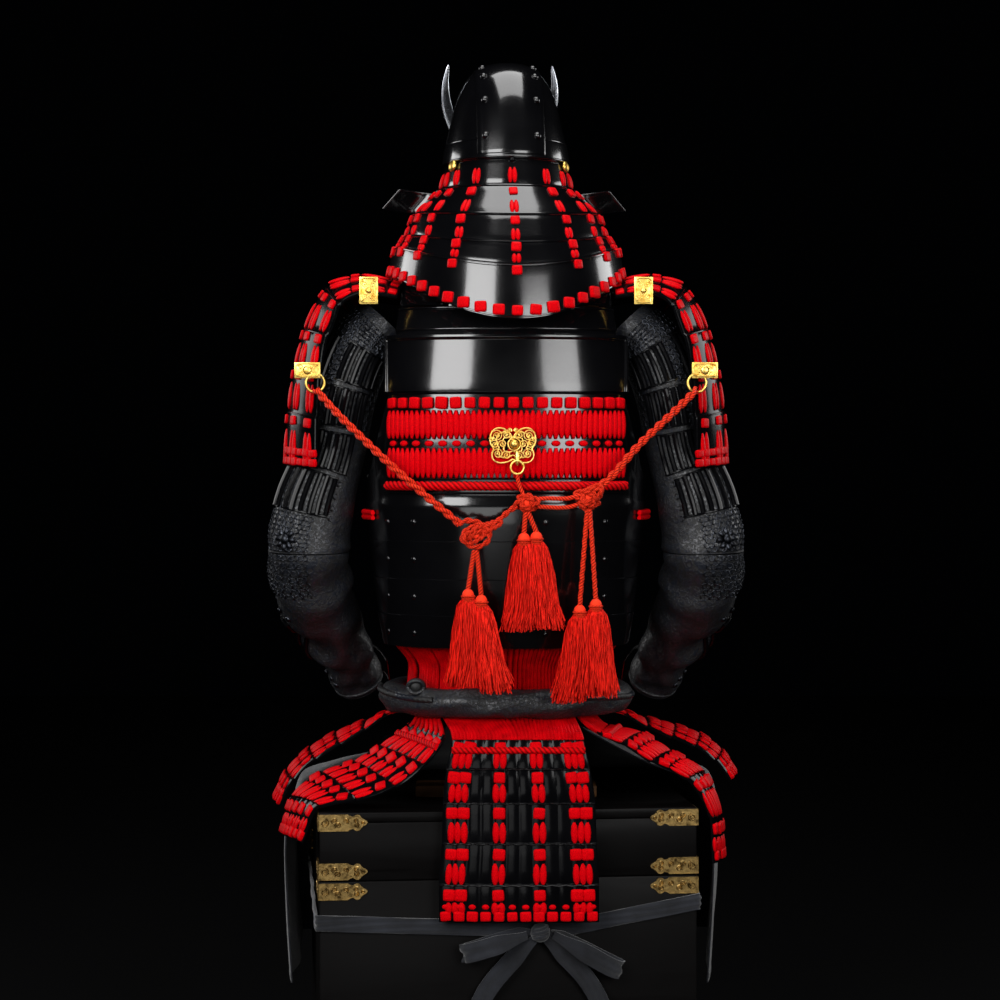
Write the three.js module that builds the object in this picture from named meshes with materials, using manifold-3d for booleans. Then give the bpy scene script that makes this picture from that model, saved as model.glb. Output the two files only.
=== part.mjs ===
// A samurai armour seated on its storage chest. Millimetres, +Z up.
// The armour's back faces -Y and the wearer's left is -X. Tables measure Y from the cuirass's middle;
// the group is then moved so that the origin is below the middle of the whole.
import * as THREE from "three";
import { mergeVertices } from "three/addons/utils/BufferGeometryUtils.js";
import Module from "manifold-3d";

const wasm = await Module();
wasm.setup();

// Driving dimensions
const SEAM_GAP = 0.4;
const PLATE = 3;
const CLOTH = 2.5;
const SECTION_POWER = 2.5;

const CHEST = {
  width: 525,
  depth: 420,
  height: 500,
  lid: 94,
  board: 14,
  centre_x: -17,
  centre_y: 75,
  yaw: 6,
};
const BRASS = { reach: 62, tall: 23, proud: 1.5 };

const STAND = { post: 44, post_y: 15, foot: 260, foot_tall: 16, rod_radius: 14, rod_half: 132 };
const HEAD_BLOCK = { half_width: 70, half_depth: 84, half_height: 92 };

const HELMET = { centre_y: 20, base_z: 1410, length_ratio: 1.22, yaw: 4.5, wall: 3 };
// Bowl outline: radius across the ears at each height over the rim
const BOWL = [
  { height: 0, radius: 91 },
  { height: 32, radius: 85.6 },
  { height: 66, radius: 78 },
  { height: 94, radius: 70.5 },
  { height: 118, radius: 59 },
  { height: 132, radius: 46.5 },
  { height: 140, radius: 30 },
  { height: 143.5, radius: 0 },
];
const CROWN_PLATE = { half_width: 47, proud: 3, rivets: 5, rivet_radius: 4.2 };
// Neck guard lames, from the bowl down: half width, half depth and height at the nape and at the sides
const NECK_LAMES = [
  { top_a: 88, top_b: 107.5, low_a: 96, low_b: 116, top_back: 1409, top_side: 1409, low_back: 1369.8, low_side: 1371.8 },
  { top_a: 99.5, top_b: 119.5, low_a: 133, low_b: 150, top_back: 1370, top_side: 1372, low_back: 1324.8, low_side: 1336.8 },
  { top_a: 136.5, top_b: 153.5, low_a: 147, low_b: 170, top_back: 1325, top_side: 1337, low_back: 1284.8, low_side: 1303.8 },
  { top_a: 150.5, top_b: 173.5, low_a: 160, low_b: 183, top_back: 1285, top_side: 1304, low_back: 1252.8, low_side: 1287.8 },
  { top_a: 163.5, top_b: 186.5, low_a: 171, low_b: 197, top_back: 1253, top_side: 1288, low_back: 1178, low_side: 1250 },
];
const NECK_SWEEP = [104, 106, 108, 110, 112];
const NECK_COLUMNS = { count: 7, spread: 90, half_width: 8, rise: 3 };
const TURN_BACK = { tall: 62, wide: 58 };
const HORN = { root: 13, rise: 176, spread: 82 };

// Cuirass outline: half width and half depth at each height
const TORSO = [
  { z: 715, a: 175, b: 127 },
  { z: 797, a: 187, b: 140 },
  { z: 905, a: 199, b: 152 },
  { z: 1000, a: 198, b: 155 },
  { z: 1083, a: 190, b: 152 },
  { z: 1157, a: 178, b: 141 },
  { z: 1200, a: 168, b: 120 },
];
const HOOP_SEAMS = [768, 818.6, 871.6, 925];
const HOOP_STEP = 1.8;
const CUIRASS = { low: 722, armhole: 962, back_top: 1083, front_top: 1100, back_half: 165, front_half: 128 };
const BACK_PLATE = { low: 1079, top: 1157, rim: 6, rim_rise: 3 };
const YOKE_TOP = 1198;
// Red lacing across the back: heights, reach and relief of each band
const BANDS = [
  { name: "lacing_squares", low: 1053, top: 1073, ribs: 19, rise: 4, lift: 2 },
  { name: "lacing_band_upper", low: 1015, top: 1051, ribs: 24, rise: 4, lift: 2 },
  { name: "lacing_diamonds", low: 1002, top: 1012, ribs: 13, rise: 2.5, lift: 1.4 },
  { name: "lacing_band_lower", low: 961, top: 999, ribs: 24, rise: 4, lift: 2 },
  { name: "lacing_twist", low: 941, top: 956, ribs: 12, rise: 3.5, lift: 2 },
];
const BAND_HALF = 163;
const SIDE_LACING = { low: 899, top: 914, from: 64, to: 116, ribs: 5 };

// Shoulder strap arch: distance back to front and height
const STRAP = [
  { y: -118, z: 1203.3 },
  { y: -75, z: 1222 },
  { y: 0, z: 1236 },
  { y: 60, z: 1218 },
  { y: 122, z: 1160 },
  { y: 157, z: 1104 },
  { y: 161, z: 1072 },
];
const STRAP_INNER = 88;
const STRAP_OUTER = 150;
const STRAP_WALL = 4;
const COLLAR = { half_width: 80, top: 1224 };

// Sleeve centre line and half widths, for the wearer's left arm
const SLEEVE = [
  { x: -172, y: 0, z: 1182, r: 40, d: 42 },
  { x: -208, y: -2, z: 1142, r: 47, d: 50 },
  { x: -232, y: -4, z: 1078, r: 47, d: 54 },
  { x: -247.5, y: -1.8, z: 1000, r: 46.5, d: 48 },
  { x: -274, y: -8, z: 915, r: 55, d: 54 },
  { x: -284, y: -8, z: 852, r: 58, d: 60 },
  { x: -280, y: 14, z: 798, r: 54, d: 54 },
  { x: -262, y: 60, z: 756, r: 47, d: 48 },
  { x: -247, y: 104, z: 716, r: 43, d: 44 },
  { x: -233, y: 140, z: 680, r: 38, d: 38 },
  { x: -221, y: 168, z: 648, r: 34, d: 33 },
];
const SLEEVE_FOLD = 3.2;
// Seam between the upper sleeve and the forearm, as shares of the sleeve's length
const ELBOW = 0.5;
const ELBOW_SEAM = 9e-4;

// Shoulder guard, for the wearer's left: its rear edge and its middle, from the neck down
const GUARD = [
  { edge_x: -153, edge_z: 1213, mid_x: -146, mid_z: 1236.6 },
  { edge_x: -196, edge_z: 1218, mid_x: -200, mid_z: 1249 },
  { edge_x: -228, edge_z: 1209, mid_x: -243, mid_z: 1243 },
  { edge_x: -243, edge_z: 1180, mid_x: -281, mid_z: 1196 },
  { edge_x: -257, edge_z: 1138, mid_x: -297, mid_z: 1149 },
  { edge_x: -263, edge_z: 1092, mid_x: -308, mid_z: 1100 },
  { edge_x: -266, edge_z: 1035, mid_x: -315, mid_z: 1045 },
  { edge_x: -268, edge_z: 972, mid_x: -320, mid_z: 976 },
];
const GUARD_REAR = -76;
const GUARD_FRONT = 92;
const GUARD_LAMES = 6;
const LAME_STEP = 2.6;
const LAME_WALL = 3.6;
const LACE_RISE = 3;

// Belt ring, and the lacing that it gathers
const BELT = { a: 162, b: 126, z: 646, radius: 20 };
const LACE_TOP = 734;

// Seven skirt panels. Each has its share of the lacing, in degrees from the middle of the back,
// then two edges, a and b, in rows from the hip to the hem.
const SKIRT = [
  {
    name: "tasset_back",
    laces: [0.1, 0.37, 0.63, 0.9],
    from: -36,
    to: 36,
    rows: [
      { ax: -74, ay: -150, az: 603, bx: 106, by: -150, bz: 603 },
      { ax: -82, ay: -157, az: 561, bx: 115, by: -157, bz: 561 },
      { ax: -87, ay: -160, az: 515, bx: 122, by: -160, bz: 515 },
      { ax: -88, ay: -163, az: 460, bx: 124, by: -163, bz: 460 },
      { ax: -92, ay: -166, az: 404, bx: 127, by: -166, bz: 404 },
      { ax: -92, ay: -168, az: 352, bx: 127, by: -168, bz: 352 },
    ],
    crown: 5,
  },
  {
    name: "tasset_back_left",
    laces: [0.14, 0.5, 0.86],
    from: -58,
    to: -37.5,
    rows: [
      { ax: -86, ay: -146, az: 606, bx: -136, by: -70, bz: 612 },
      { ax: -112, ay: -152, az: 566, bx: -180, by: -52, bz: 580 },
      { ax: -152, ay: -152, az: 536, bx: -218, by: -42, bz: 556 },
      { ax: -205, ay: -150, az: 517.4, bx: -262, by: -37, bz: 540 },
      { ax: -256, ay: -148, az: 508.4, bx: -304, by: -36, bz: 506 },
      { ax: -284, ay: -146, az: 458, bx: -322, by: -40, bz: 452 },
    ],
    crown: 7,
  },
  {
    name: "tasset_back_right",
    laces: [0.14, 0.5, 0.86],
    from: 37.5,
    to: 58,
    rows: [
      { ax: 126, ay: -128, az: 608, bx: 140, by: -52, bz: 610 },
      { ax: 160, ay: -120, az: 592, bx: 192, by: -45, bz: 596 },
      { ax: 202, ay: -112, az: 566, bx: 236, by: -38, bz: 568 },
      { ax: 252, ay: -106, az: 540, bx: 280, by: -32, bz: 540 },
      { ax: 286, ay: -100, az: 486, bx: 304, by: -28, bz: 482 },
      { ax: 292, ay: -98, az: 420, bx: 310, by: -26, bz: 416 },
    ],
    crown: 7,
  },
  {
    name: "tasset_left",
    laces: [],
    from: -115,
    to: -66,
    rows: [
      { ax: -168, ay: -8, az: 622, bx: -160, by: 72, bz: 616 },
      { ax: -204, ay: 4, az: 596, bx: -204, by: 106, bz: 596 },
      { ax: -240, ay: 12, az: 574, bx: -250, by: 124, bz: 576 },
      { ax: -276, ay: 18, az: 552, bx: -290, by: 138, bz: 552 },
      { ax: -308, ay: 22, az: 522, bx: -324, by: 150, bz: 520 },
      { ax: -330, ay: 26, az: 484, bx: -346, by: 158, bz: 478 },
    ],
    crown: 7,
  },
  {
    name: "tasset_right",
    laces: [],
    from: 66,
    to: 115,
    rows: [
      { ax: 168, ay: -8, az: 622, bx: 160, by: 72, bz: 616 },
      { ax: 204, ay: 4, az: 600, bx: 204, by: 106, bz: 600 },
      { ax: 240, ay: 12, az: 584, bx: 250, by: 124, bz: 586 },
      { ax: 274, ay: 18, az: 570, bx: 288, by: 138, bz: 572 },
      { ax: 304, ay: 22, az: 550, bx: 320, by: 150, bz: 548 },
      { ax: 328, ay: 26, az: 522, bx: 342, by: 158, bz: 516 },
    ],
    crown: 7,
  },
  {
    name: "tasset_front_left",
    laces: [],
    from: -176,
    to: -124,
    rows: [
      { ax: -118, ay: 112, az: 610, bx: -14, by: 150, bz: 606 },
      { ax: -146, ay: 158, az: 586, bx: -18, by: 192, bz: 582 },
      { ax: -170, ay: 206, az: 566, bx: -22, by: 240, bz: 560 },
      { ax: -188, ay: 262, az: 552, bx: -26, by: 290, bz: 544 },
      { ax: -202, ay: 316, az: 526, bx: -30, by: 336, bz: 516 },
      { ax: -210, ay: 346, az: 470, bx: -32, by: 358, bz: 460 },
    ],
    crown: 7,
  },
  {
    name: "tasset_front_right",
    laces: [],
    from: 124,
    to: 176,
    rows: [
      { ax: 118, ay: 112, az: 610, bx: 14, by: 150, bz: 606 },
      { ax: 146, ay: 158, az: 586, bx: 18, by: 192, bz: 582 },
      { ax: 170, ay: 206, az: 566, bx: 22, by: 240, bz: 560 },
      { ax: 188, ay: 262, az: 552, bx: 26, by: 290, bz: 544 },
      { ax: 202, ay: 316, az: 526, bx: 30, by: 336, bz: 516 },
      { ax: 210, ay: 346, az: 470, bx: 32, by: 358, bz: 460 },
    ],
    crown: 7,
  },
];
const SKIRT_LAMES = 5;

// Thigh apron, for the wearer's left: rows from the waist to the hem. side_y is the rear edge.
const APRON = [
  { side_x: -120, side_y: 60, corner_x: -110, corner_y: 120, inner_x: -8, inner_y: 128, z: 588, side_z: 588 },
  { side_x: -200, side_y: 30, corner_x: -190, corner_y: 200, inner_x: -8, inner_y: 220, z: 545, side_z: 548 },
  { side_x: -268, side_y: 20, corner_x: -262, corner_y: 262, inner_x: -8, inner_y: 290, z: 520, side_z: 521 },
  { side_x: -296, side_y: 22, corner_x: -318, corner_y: 300, inner_x: -8, inner_y: 312, z: 494, side_z: 490 },
  { side_x: -300, side_y: 26, corner_x: -332, corner_y: 306, inner_x: -10, inner_y: 316, z: 440, side_z: 430 },
  { side_x: -296, side_y: 32, corner_x: -330, corner_y: 304, inner_x: -14, inner_y: 318, z: 340, side_z: 330 },
  { side_x: -292, side_y: 40, corner_x: -322, corner_y: 300, inner_x: -20, inner_y: 320, z: 250, side_z: 226 },
];
const APRON_FOLD = 6;

// Grey sash round the chest: height at each end of the back, and its section
const SASH = { left_z: 350, knot_z: 334, right_z: 369, front_z: 368, tall: 22, thick: 4, gap: 2.2, round: 4 };
const BOW = { x: 47, y: -148, z: 334, knot: 14, width: 26, wall: 2 };
// Bow loops and tails: points away from the knot
const BOW_LOOPS = [
  [[-18, 2, -4], [-62, -14, -14], [-100, -12, -24], [-106, 0, -26], [-92, 8, -24], [-50, 9, -12], [-12, 6, -4]],
  [[18, 2, -4], [60, -12, -26], [102, -10, -50], [112, 1, -54], [98, 8, -48], [52, 9, -24], [12, 6, -4]],
];
const BOW_TAILS = [
  [[-6, 4, -8], [-40, 6, -40], [-76, 7, -84], [-92, 7, -126], [-96, 6, -158]],
  [[6, 4, -8], [34, 6, -34], [66, 7, -70], [88, 7, -112], [96, 6, -140]],
];

// Twisted red cords. Points run from the ring on each guard to the knots at the back.
const CORD_RADIUS = 6;
const THIN_CORD_RADIUS = 3.3;
const HANGER_RADIUS = 3;
const LOOP_RADIUS = 4.4;
const CORD_LEFT = [
  [-267, -90.9, 1082.7],
  [-236, -118, 1050],
  [-166, -154, 984],
  [-106, -174, 932],
  [-64, -185, 898],
];
const LOOP_LEFT = [
  [-64, -185, 898],
  [-50, -186, 902],
  [-26, -187, 892],
  [-24, -188, 876],
  [-42, -188, 866],
  [-60, -187, 878],
  [-50, -187, 892],
  [-20, -186, 896],
  [4, -184, 915],
  [14.3, -182.6, 921.6],
];
const CORD_RIGHT = [
  [267, -90.9, 1082.7],
  [234, -116, 1052],
  [182, -146, 1004],
  [144, -166, 962],
  [122, -176, 944],
];
const LINK_RIGHT = [
  [
    [104, -178, 938],
    [84, -180, 932],
    [56, -181, 932],
    [42, -181, 931],
  ],
  [
    [104, -178, 926],
    [84, -180, 920],
    [56, -181, 920],
    [42, -181, 921],
  ],
];
const HANGER = [
  [15, -175, 963.9],
  [17, -176, 952],
  [23, -179, 938],
  [28, -180, 930],
];
const KNOTS = {
  left: { at: [-42, -187, 882], radii: [11, 9, 10], tail_z: 861.9 },
  centre: { at: [28, -181, 926], radii: [14, 10, 12], tail_z: 913.4 },
  right: { at: [112, -177, 932], radii: [17, 11, 15], tail_z: 916.5 },
};
// Tassels, two to each knot: the head, and how far the skirt's hem stands to the side of it
const TASSELS = [
  { pair: "left", x: -52, y: -188, z: 808, lean: -8 },
  { pair: "left", x: -34, y: -189, z: 800, lean: 20 },
  { pair: "centre", x: 24, y: -183, z: 884, lean: -8 },
  { pair: "centre", x: 41, y: -182, z: 886, lean: 15 },
  { pair: "right", x: 100, y: -182, z: 786, lean: -16 },
  { pair: "right", x: 122, y: -180, z: 794, lean: 8 },
];
const TASSEL = { head: 8.5, length: 122, spread_x: 19, spread_y: 11, strands: 6, strand: 7.5 };
const BUTTERFLY = { x: 9, z: 1004, half_width: 31, half_tall: 22, thick: 2.4, y: -164.6, ring_z: 974 };

const MATERIALS = {
  lacquer: new THREE.MeshStandardMaterial({ color: 0x0b0b0d, roughness: 0.12, metalness: 0 }),
  lacing: new THREE.MeshStandardMaterial({ color: 0xc8101c, roughness: 0.75, metalness: 0 }),
  cord: new THREE.MeshStandardMaterial({ color: 0xd82a20, roughness: 0.6, metalness: 0 }),
  gold: new THREE.MeshStandardMaterial({ color: 0xd9a441, roughness: 0.3, metalness: 1 }),
  brocade: new THREE.MeshStandardMaterial({ color: 0x1c1d22, roughness: 0.7, metalness: 0 }),
  cotton: new THREE.MeshStandardMaterial({ color: 0x33343a, roughness: 0.9, metalness: 0 }),
  wood: new THREE.MeshStandardMaterial({ color: 0x15130f, roughness: 0.45, metalness: 0 }),
  horn: new THREE.MeshStandardMaterial({ color: 0xb9bcc2, roughness: 0.25, metalness: 1 }),
  stand: new THREE.MeshStandardMaterial({ color: 0x2a2119, roughness: 0.6, metalness: 0 }),
};

// Small maths helpers
const radians = (degrees) => (degrees * Math.PI) / 180;
const mix = (a, b, t) => a + (b - a) * t;
const clamp01 = (t) => Math.min(1, Math.max(0, t));
const smooth = (t) => clamp01(t) * clamp01(t) * (3 - 2 * clamp01(t));
const range = (n) => Array.from({ length: n + 1 }, (_, i) => i / n);
const signedPower = (value, power) => Math.sign(value) * Math.pow(Math.abs(value), power);

// Value of a table's column at t, from 0 at the first row to 1 at the last, on a smooth curve
function column(rows, key, t) {
  const place = clamp01(t) * (rows.length - 1);
  const i = Math.min(rows.length - 2, Math.floor(place));
  const f = place - i;
  const at = (k) => rows[Math.min(rows.length - 1, Math.max(0, k))][key];
  const slope = (k) => {
    const before = at(k) - at(k - 1);
    const after = at(k + 1) - at(k);
    return before * after <= 0 ? 0 : (2 * before * after) / (before + after);
  };
  const start = slope(i) || (i === 0 ? at(1) - at(0) : 0);
  const end = slope(i + 1) || (i === rows.length - 2 ? at(i + 1) - at(i) : 0);
  const f2 = f * f;
  const f3 = f2 * f;
  return (
    (2 * f3 - 3 * f2 + 1) * at(i) + (f3 - 2 * f2 + f) * start + (3 * f2 - 2 * f3) * at(i + 1) + (f3 - f2) * end
  );
}

// Value of a table's column at the height z, on straight lines between rows
function atHeight(rows, key, z, heightKey = "z") {
  const order = rows[0][heightKey] < rows[rows.length - 1][heightKey] ? rows : [...rows].reverse();
  const last = order.length - 1;
  let i = order.findIndex((row) => row[heightKey] > z) - 1;
  if (i === -2) i = last - 1;
  i = Math.max(0, Math.min(last - 1, i));
  const t = (z - order[i][heightKey]) / (order[i + 1][heightKey] - order[i][heightKey]);
  return mix(order[i][key], order[i + 1][key], clamp01(t));
}

// Closed wall over a smooth base surface. us and vs are the grid; lift moves both faces outwards,
// relief the outer face alone. ring joins the last u to the first.
function wall(base, us, vs, thickness, options = {}) {
  const { lift = () => 0, relief = () => 0, ring = false, side = 1, stepUV = 1e-3 } = options;
  const columns = ring ? us.length - 1 : us.length;
  const rows = vs.length;
  const outer = [];
  const inner = [];
  for (let j = 0; j < rows; j++) {
    for (let i = 0; i < columns; i++) {
      const u = us[i];
      const v = vs[j];
      const along = base(u + stepUV, v).sub(base(u - stepUV, v));
      const down = base(u, v + stepUV).sub(base(u, v - stepUV));
      const normal = along.cross(down).normalize().multiplyScalar(side);
      const point = base(u, v);
      const raised = lift(u, v) + relief(u, v);
      outer.push(point.clone().addScaledVector(normal, raised));
      inner.push(point.clone().addScaledVector(normal, lift(u, v) - thickness));
    }
  }
  const positions = [...outer, ...inner].flatMap((p) => [p.x, p.y, p.z]);
  const shift = columns * rows;
  const index = [];
  const quad = (a, b, c, d) => {
    if (side > 0) index.push(a, b, c, a, c, d);
    else index.push(a, c, b, a, d, c);
  };
  const at = (i, j) => (i % columns) + j * columns;
  const spans = ring ? columns : columns - 1;
  for (let j = 0; j + 1 < rows; j++) {
    for (let i = 0; i < spans; i++) {
      quad(at(i, j), at(i + 1, j), at(i + 1, j + 1), at(i, j + 1));
      quad(shift + at(i, j), shift + at(i, j + 1), shift + at(i + 1, j + 1), shift + at(i + 1, j));
    }
    if (!ring) {
      quad(at(0, j), at(0, j + 1), shift + at(0, j + 1), shift + at(0, j));
      const e = columns - 1;
      quad(at(e, j), shift + at(e, j), shift + at(e, j + 1), at(e, j + 1));
    }
  }
  for (let i = 0; i < spans; i++) {
    const e = rows - 1;
    quad(at(i, 0), shift + at(i, 0), shift + at(i + 1, 0), at(i + 1, 0));
    quad(at(i, e), at(i + 1, e), shift + at(i + 1, e), shift + at(i, e));
  }
  const geometry = new THREE.BufferGeometry();
  geometry.setAttribute("position", new THREE.Float32BufferAttribute(positions, 3));
  geometry.setIndex(index);
  return geometry;
}

// Solid of a closed geometry, for a boolean
function solidOf(geometry) {
  const plain = geometry.clone();
  plain.deleteAttribute("normal");
  plain.deleteAttribute("uv");
  const merged = mergeVertices(plain, 1e-3);
  const kept = [];
  const index = merged.index.array;
  for (let i = 0; i < index.length; i += 3) {
    const [a, b, c] = [index[i], index[i + 1], index[i + 2]];
    if (a !== b && b !== c && a !== c) kept.push(a, b, c);
  }
  const mesh = new wasm.Mesh({
    numProp: 3,
    vertProperties: merged.attributes.position.array,
    triVerts: new Uint32Array(kept),
  });
  return new wasm.Manifold(mesh);
}

function geometryOf(solid) {
  const mesh = solid.getMesh();
  const geometry = new THREE.BufferGeometry();
  geometry.setAttribute("position", new THREE.BufferAttribute(mesh.vertProperties, 3));
  geometry.setIndex(new THREE.BufferAttribute(mesh.triVerts, 1));
  return geometry;
}

// One body of several, with edges shorter than the tolerance merged away
const joined = (geometries, tolerance) =>
  geometryOf(geometries.map(solidOf).reduce((a, b) => a.add(b)).simplify(tolerance));
const join = (...geometries) => joined(geometries, 0.05);
const cut = (body, ...tools) => geometryOf(tools.map(solidOf).reduce((a, b) => a.subtract(b), solidOf(body)));

function mirrored(geometry) {
  const turned = geometry.clone();
  const place = turned.attributes.position;
  for (let i = 0; i < place.count; i++) place.setX(i, -place.getX(i));
  const index = turned.index.array;
  for (let i = 0; i < index.length; i += 3) [index[i + 1], index[i + 2]] = [index[i + 2], index[i + 1]];
  return turned;
}

function box(width, depth, tall, x, y, z) {
  return new THREE.BoxGeometry(width, depth, tall).translate(x, y, z);
}

// Round bar along a curve through the points
function bar(points, radius, sides = 8, steps = 12) {
  const curve = new THREE.CatmullRomCurve3(points.map((p) => new THREE.Vector3(...p)), false, "centripetal");
  const section = new THREE.Shape();
  for (let i = 0; i < sides; i++) {
    const turn = (2 * Math.PI * i) / sides;
    const [x, y] = [radius * Math.cos(turn), radius * Math.sin(turn)];
    if (i) section.lineTo(x, y);
    else section.moveTo(x, y);
  }
  section.closePath();
  return new THREE.ExtrudeGeometry(section, { steps, extrudePath: curve, bevelEnabled: false });
}

function ball(radii, centre, across = 12, down = 8) {
  return new THREE.SphereGeometry(1, across, down)
    .rotateX(Math.PI / 2)
    .scale(...radii)
    .translate(...centre);
}

// Grid values with a pair of close lines at each step between lames
function lameRows(start, end, count) {
  const edge = 0.006;
  return Array.from({ length: count }, (_, k) => {
    const top = mix(start, end, k / count);
    const low = mix(start, end, (k + 1) / count);
    return [k ? top + edge : top, k + 1 < count ? low - edge : low];
  }).flat();
}

// Each lame leans: its top edge stands proud of the lame above it
function lameLift(v, start, end, count, step) {
  if (v < start) return 0;
  const place = clamp01((v - start) / (end - start)) * count;
  const k = Math.min(count - 1, Math.floor(place));
  return step * (0.5 - (place - k)) * (k === 0 ? 0.4 : 1);
}

// Grid values and relief for upright lacing columns at the given centres
function lacingColumns(centres, half, rise, extra = []) {
  const us = centres.flatMap((c) => [c - half, c, c + half]);
  const relief = (u) => {
    const away = Math.min(...centres.map((c) => Math.abs(u - c)));
    return rise * clamp01(1 - away / half);
  };
  return { us: [...us, ...extra].sort((a, b) => a - b), relief };
}

// Point on the cuirass outline at an angle from the middle of the back, in degrees
function torsoPoint(angle, z, outwards = 0) {
  const a = atHeight(TORSO, "a", z) + outwards;
  const b = atHeight(TORSO, "b", z) + outwards;
  const turn = radians(angle);
  const x = a * signedPower(Math.sin(turn), 2 / SECTION_POWER);
  const y = -b * signedPower(Math.cos(turn), 2 / SECTION_POWER);
  return new THREE.Vector3(x, y, z);
}

// Angle at which the outline is this far from the middle
function angleAt(x, z) {
  const share = Math.min(1, Math.abs(x) / atHeight(TORSO, "a", z));
  return Math.sign(x) * THREE.MathUtils.radToDeg(Math.asin(Math.pow(share, SECTION_POWER / 2)));
}

const part = new THREE.Group();

function add(name, geometry, material, parent = part) {
  const mesh = new THREE.Mesh(geometry, MATERIALS[material].clone());
  mesh.name = name;
  parent.add(mesh);
  return mesh;
}

// Storage chest, with a lift-off lid and brass corner fittings in low relief
function buildChest() {
  const group = new THREE.Group();
  group.position.set(CHEST.centre_x, CHEST.centre_y, 0);
  group.rotation.z = radians(CHEST.yaw);
  part.add(group);
  const { width, depth, height, lid, board } = CHEST;
  const low = height - lid;
  const fitting = (sx, sy, z) => {
    const x = sx * (width / 2 + BRASS.proud - BRASS.reach / 2);
    const y = sy * (depth / 2 + BRASS.proud - BRASS.reach / 2);
    return box(BRASS.reach, BRASS.reach, BRASS.tall, x, y, z);
  };
  const corners = [-1, 1].flatMap((sx) => [-1, 1].map((sy) => [sx, sy]));
  const bodyFittings = corners.map(([sx, sy]) => fitting(sx, sy, low - SEAM_GAP - 2 - BRASS.tall / 2));
  const lidFittings = corners.flatMap(([sx, sy]) => [
    fitting(sx, sy, low + 2 + BRASS.tall / 2),
    fitting(sx, sy, height - 2 - BRASS.tall / 2),
  ]);
  const body = join(box(width, depth, low - SEAM_GAP, 0, 0, (low - SEAM_GAP) / 2), ...bodyFittings);
  const space = box(width - 2 * board, depth - 2 * board, low, 0, 0, board + low / 2);
  add("chest_body", cut(body, space), "wood", group);
  const cap = join(box(width, depth, lid, 0, 0, low + lid / 2), ...lidFittings);
  const capSpace = box(width - 2 * board, depth - 2 * board, lid - board + 1, 0, 0, low + (lid - board - 1) / 2);
  add("chest_lid", cut(cap, capSpace), "wood", group);
  return group;
}

// Plain wooden stand inside the armour: foot, post, shoulder rod and a smooth head block
function buildStand() {
  const y = STAND.post_y;
  const foot = CHEST.height + SEAM_GAP;
  const rodZ = column(STRAP, "z", 1 / 3) - STRAP_WALL - 4.3 - SEAM_GAP - STAND.rod_radius;
  const rod = new THREE.CylinderGeometry(STAND.rod_radius, STAND.rod_radius, 2 * STAND.rod_half, 12)
    .rotateZ(Math.PI / 2)
    .translate(0, 0, rodZ);
  const headTop = HELMET.base_z + BOWL[BOWL.length - 1].height - HELMET.wall - SEAM_GAP;
  const head = ball(
    [HEAD_BLOCK.half_width, HEAD_BLOCK.half_depth, HEAD_BLOCK.half_height],
    [0, HELMET.centre_y, headTop - HEAD_BLOCK.half_height],
    14,
    8,
  );
  const neckTop = headTop - HEAD_BLOCK.half_height;
  add(
    "armour_stand",
    join(
      box(STAND.foot, 60, STAND.foot_tall, 0, y, foot + STAND.foot_tall / 2),
      box(60, 150, STAND.foot_tall, 0, y, foot + STAND.foot_tall / 2),
      box(STAND.post, STAND.post, neckTop - foot - 2, 0, y, (neckTop + foot + 2) / 2),
      rod,
      head,
    ),
    "stand",
  );
}

// Height of the bowl's outer face over its rim, at a distance from its axis
function bowlHeight(radius) {
  const share = BOWL.map((row) => ({ z: row.radius, height: row.height }));
  return atHeight(share, "height", radius);
}

function buildHelmet() {
  const group = new THREE.Group();
  group.position.set(0, HELMET.centre_y, 0);
  group.rotation.z = radians(HELMET.yaw);
  part.add(group);
  const outer = BOWL.map((row) => new THREE.Vector2(row.radius, row.height));
  const top = BOWL[BOWL.length - 1].height - HELMET.wall;
  const inner = BOWL.filter((row, i) => i % 2 === 0 || !row.radius).map((row) => {
    const radius = row.radius ? row.radius - HELMET.wall : 0;
    return new THREE.Vector2(radius, Math.min(top, row.height));
  });
  const bowl = new THREE.LatheGeometry([...inner.reverse(), ...outer], 18)
    .rotateX(Math.PI / 2)
    .scale(1, HELMET.length_ratio, 1)
    .translate(0, 0, HELMET.base_z);
  add("helmet_bowl", joined([bowl, ...crownPlate()], 0.4), "lacquer", group);
  buildNeckGuard(group);
  buildVisor(group);
  buildCrest(group);
}

// Wide strip that runs over the bowl from nape to brow, with a row of rivets along each edge
function crownPlate() {
  const half = CROWN_PLATE.half_width;
  const rim = BOWL[0].radius - 0.6;
  const base = (u, v) => {
    const x = mix(-half, half, u);
    const reach = Math.sqrt(rim * rim - x * x);
    const y = -reach * Math.cos(Math.PI * clamp01(v));
    const z = bowlHeight(Math.hypot(x, y));
    return new THREE.Vector3(x, y * HELMET.length_ratio, HELMET.base_z + z);
  };
  const lift = () => CROWN_PLATE.proud;
  const strip = wall(base, range(4), range(10), CROWN_PLATE.proud + 1.5, { lift, side: 1, stepUV: 4e-3 });
  const rivets = [];
  for (let k = 1; k < CROWN_PLATE.rivets; k++) {
    for (const u of [0.1, 0.9]) {
      const p = base(u, 0.02 + (0.9 * k) / CROWN_PLATE.rivets);
      const out = new THREE.Vector3(p.x, p.y / 1.5, p.z - HELMET.base_z - 20).normalize().multiplyScalar(3.2);
      const r = CROWN_PLATE.rivet_radius;
      rivets.push(ball([r, r, r], p.add(out).toArray(), 6, 4));
    }
  }
  return [strip, ...rivets];
}

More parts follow.
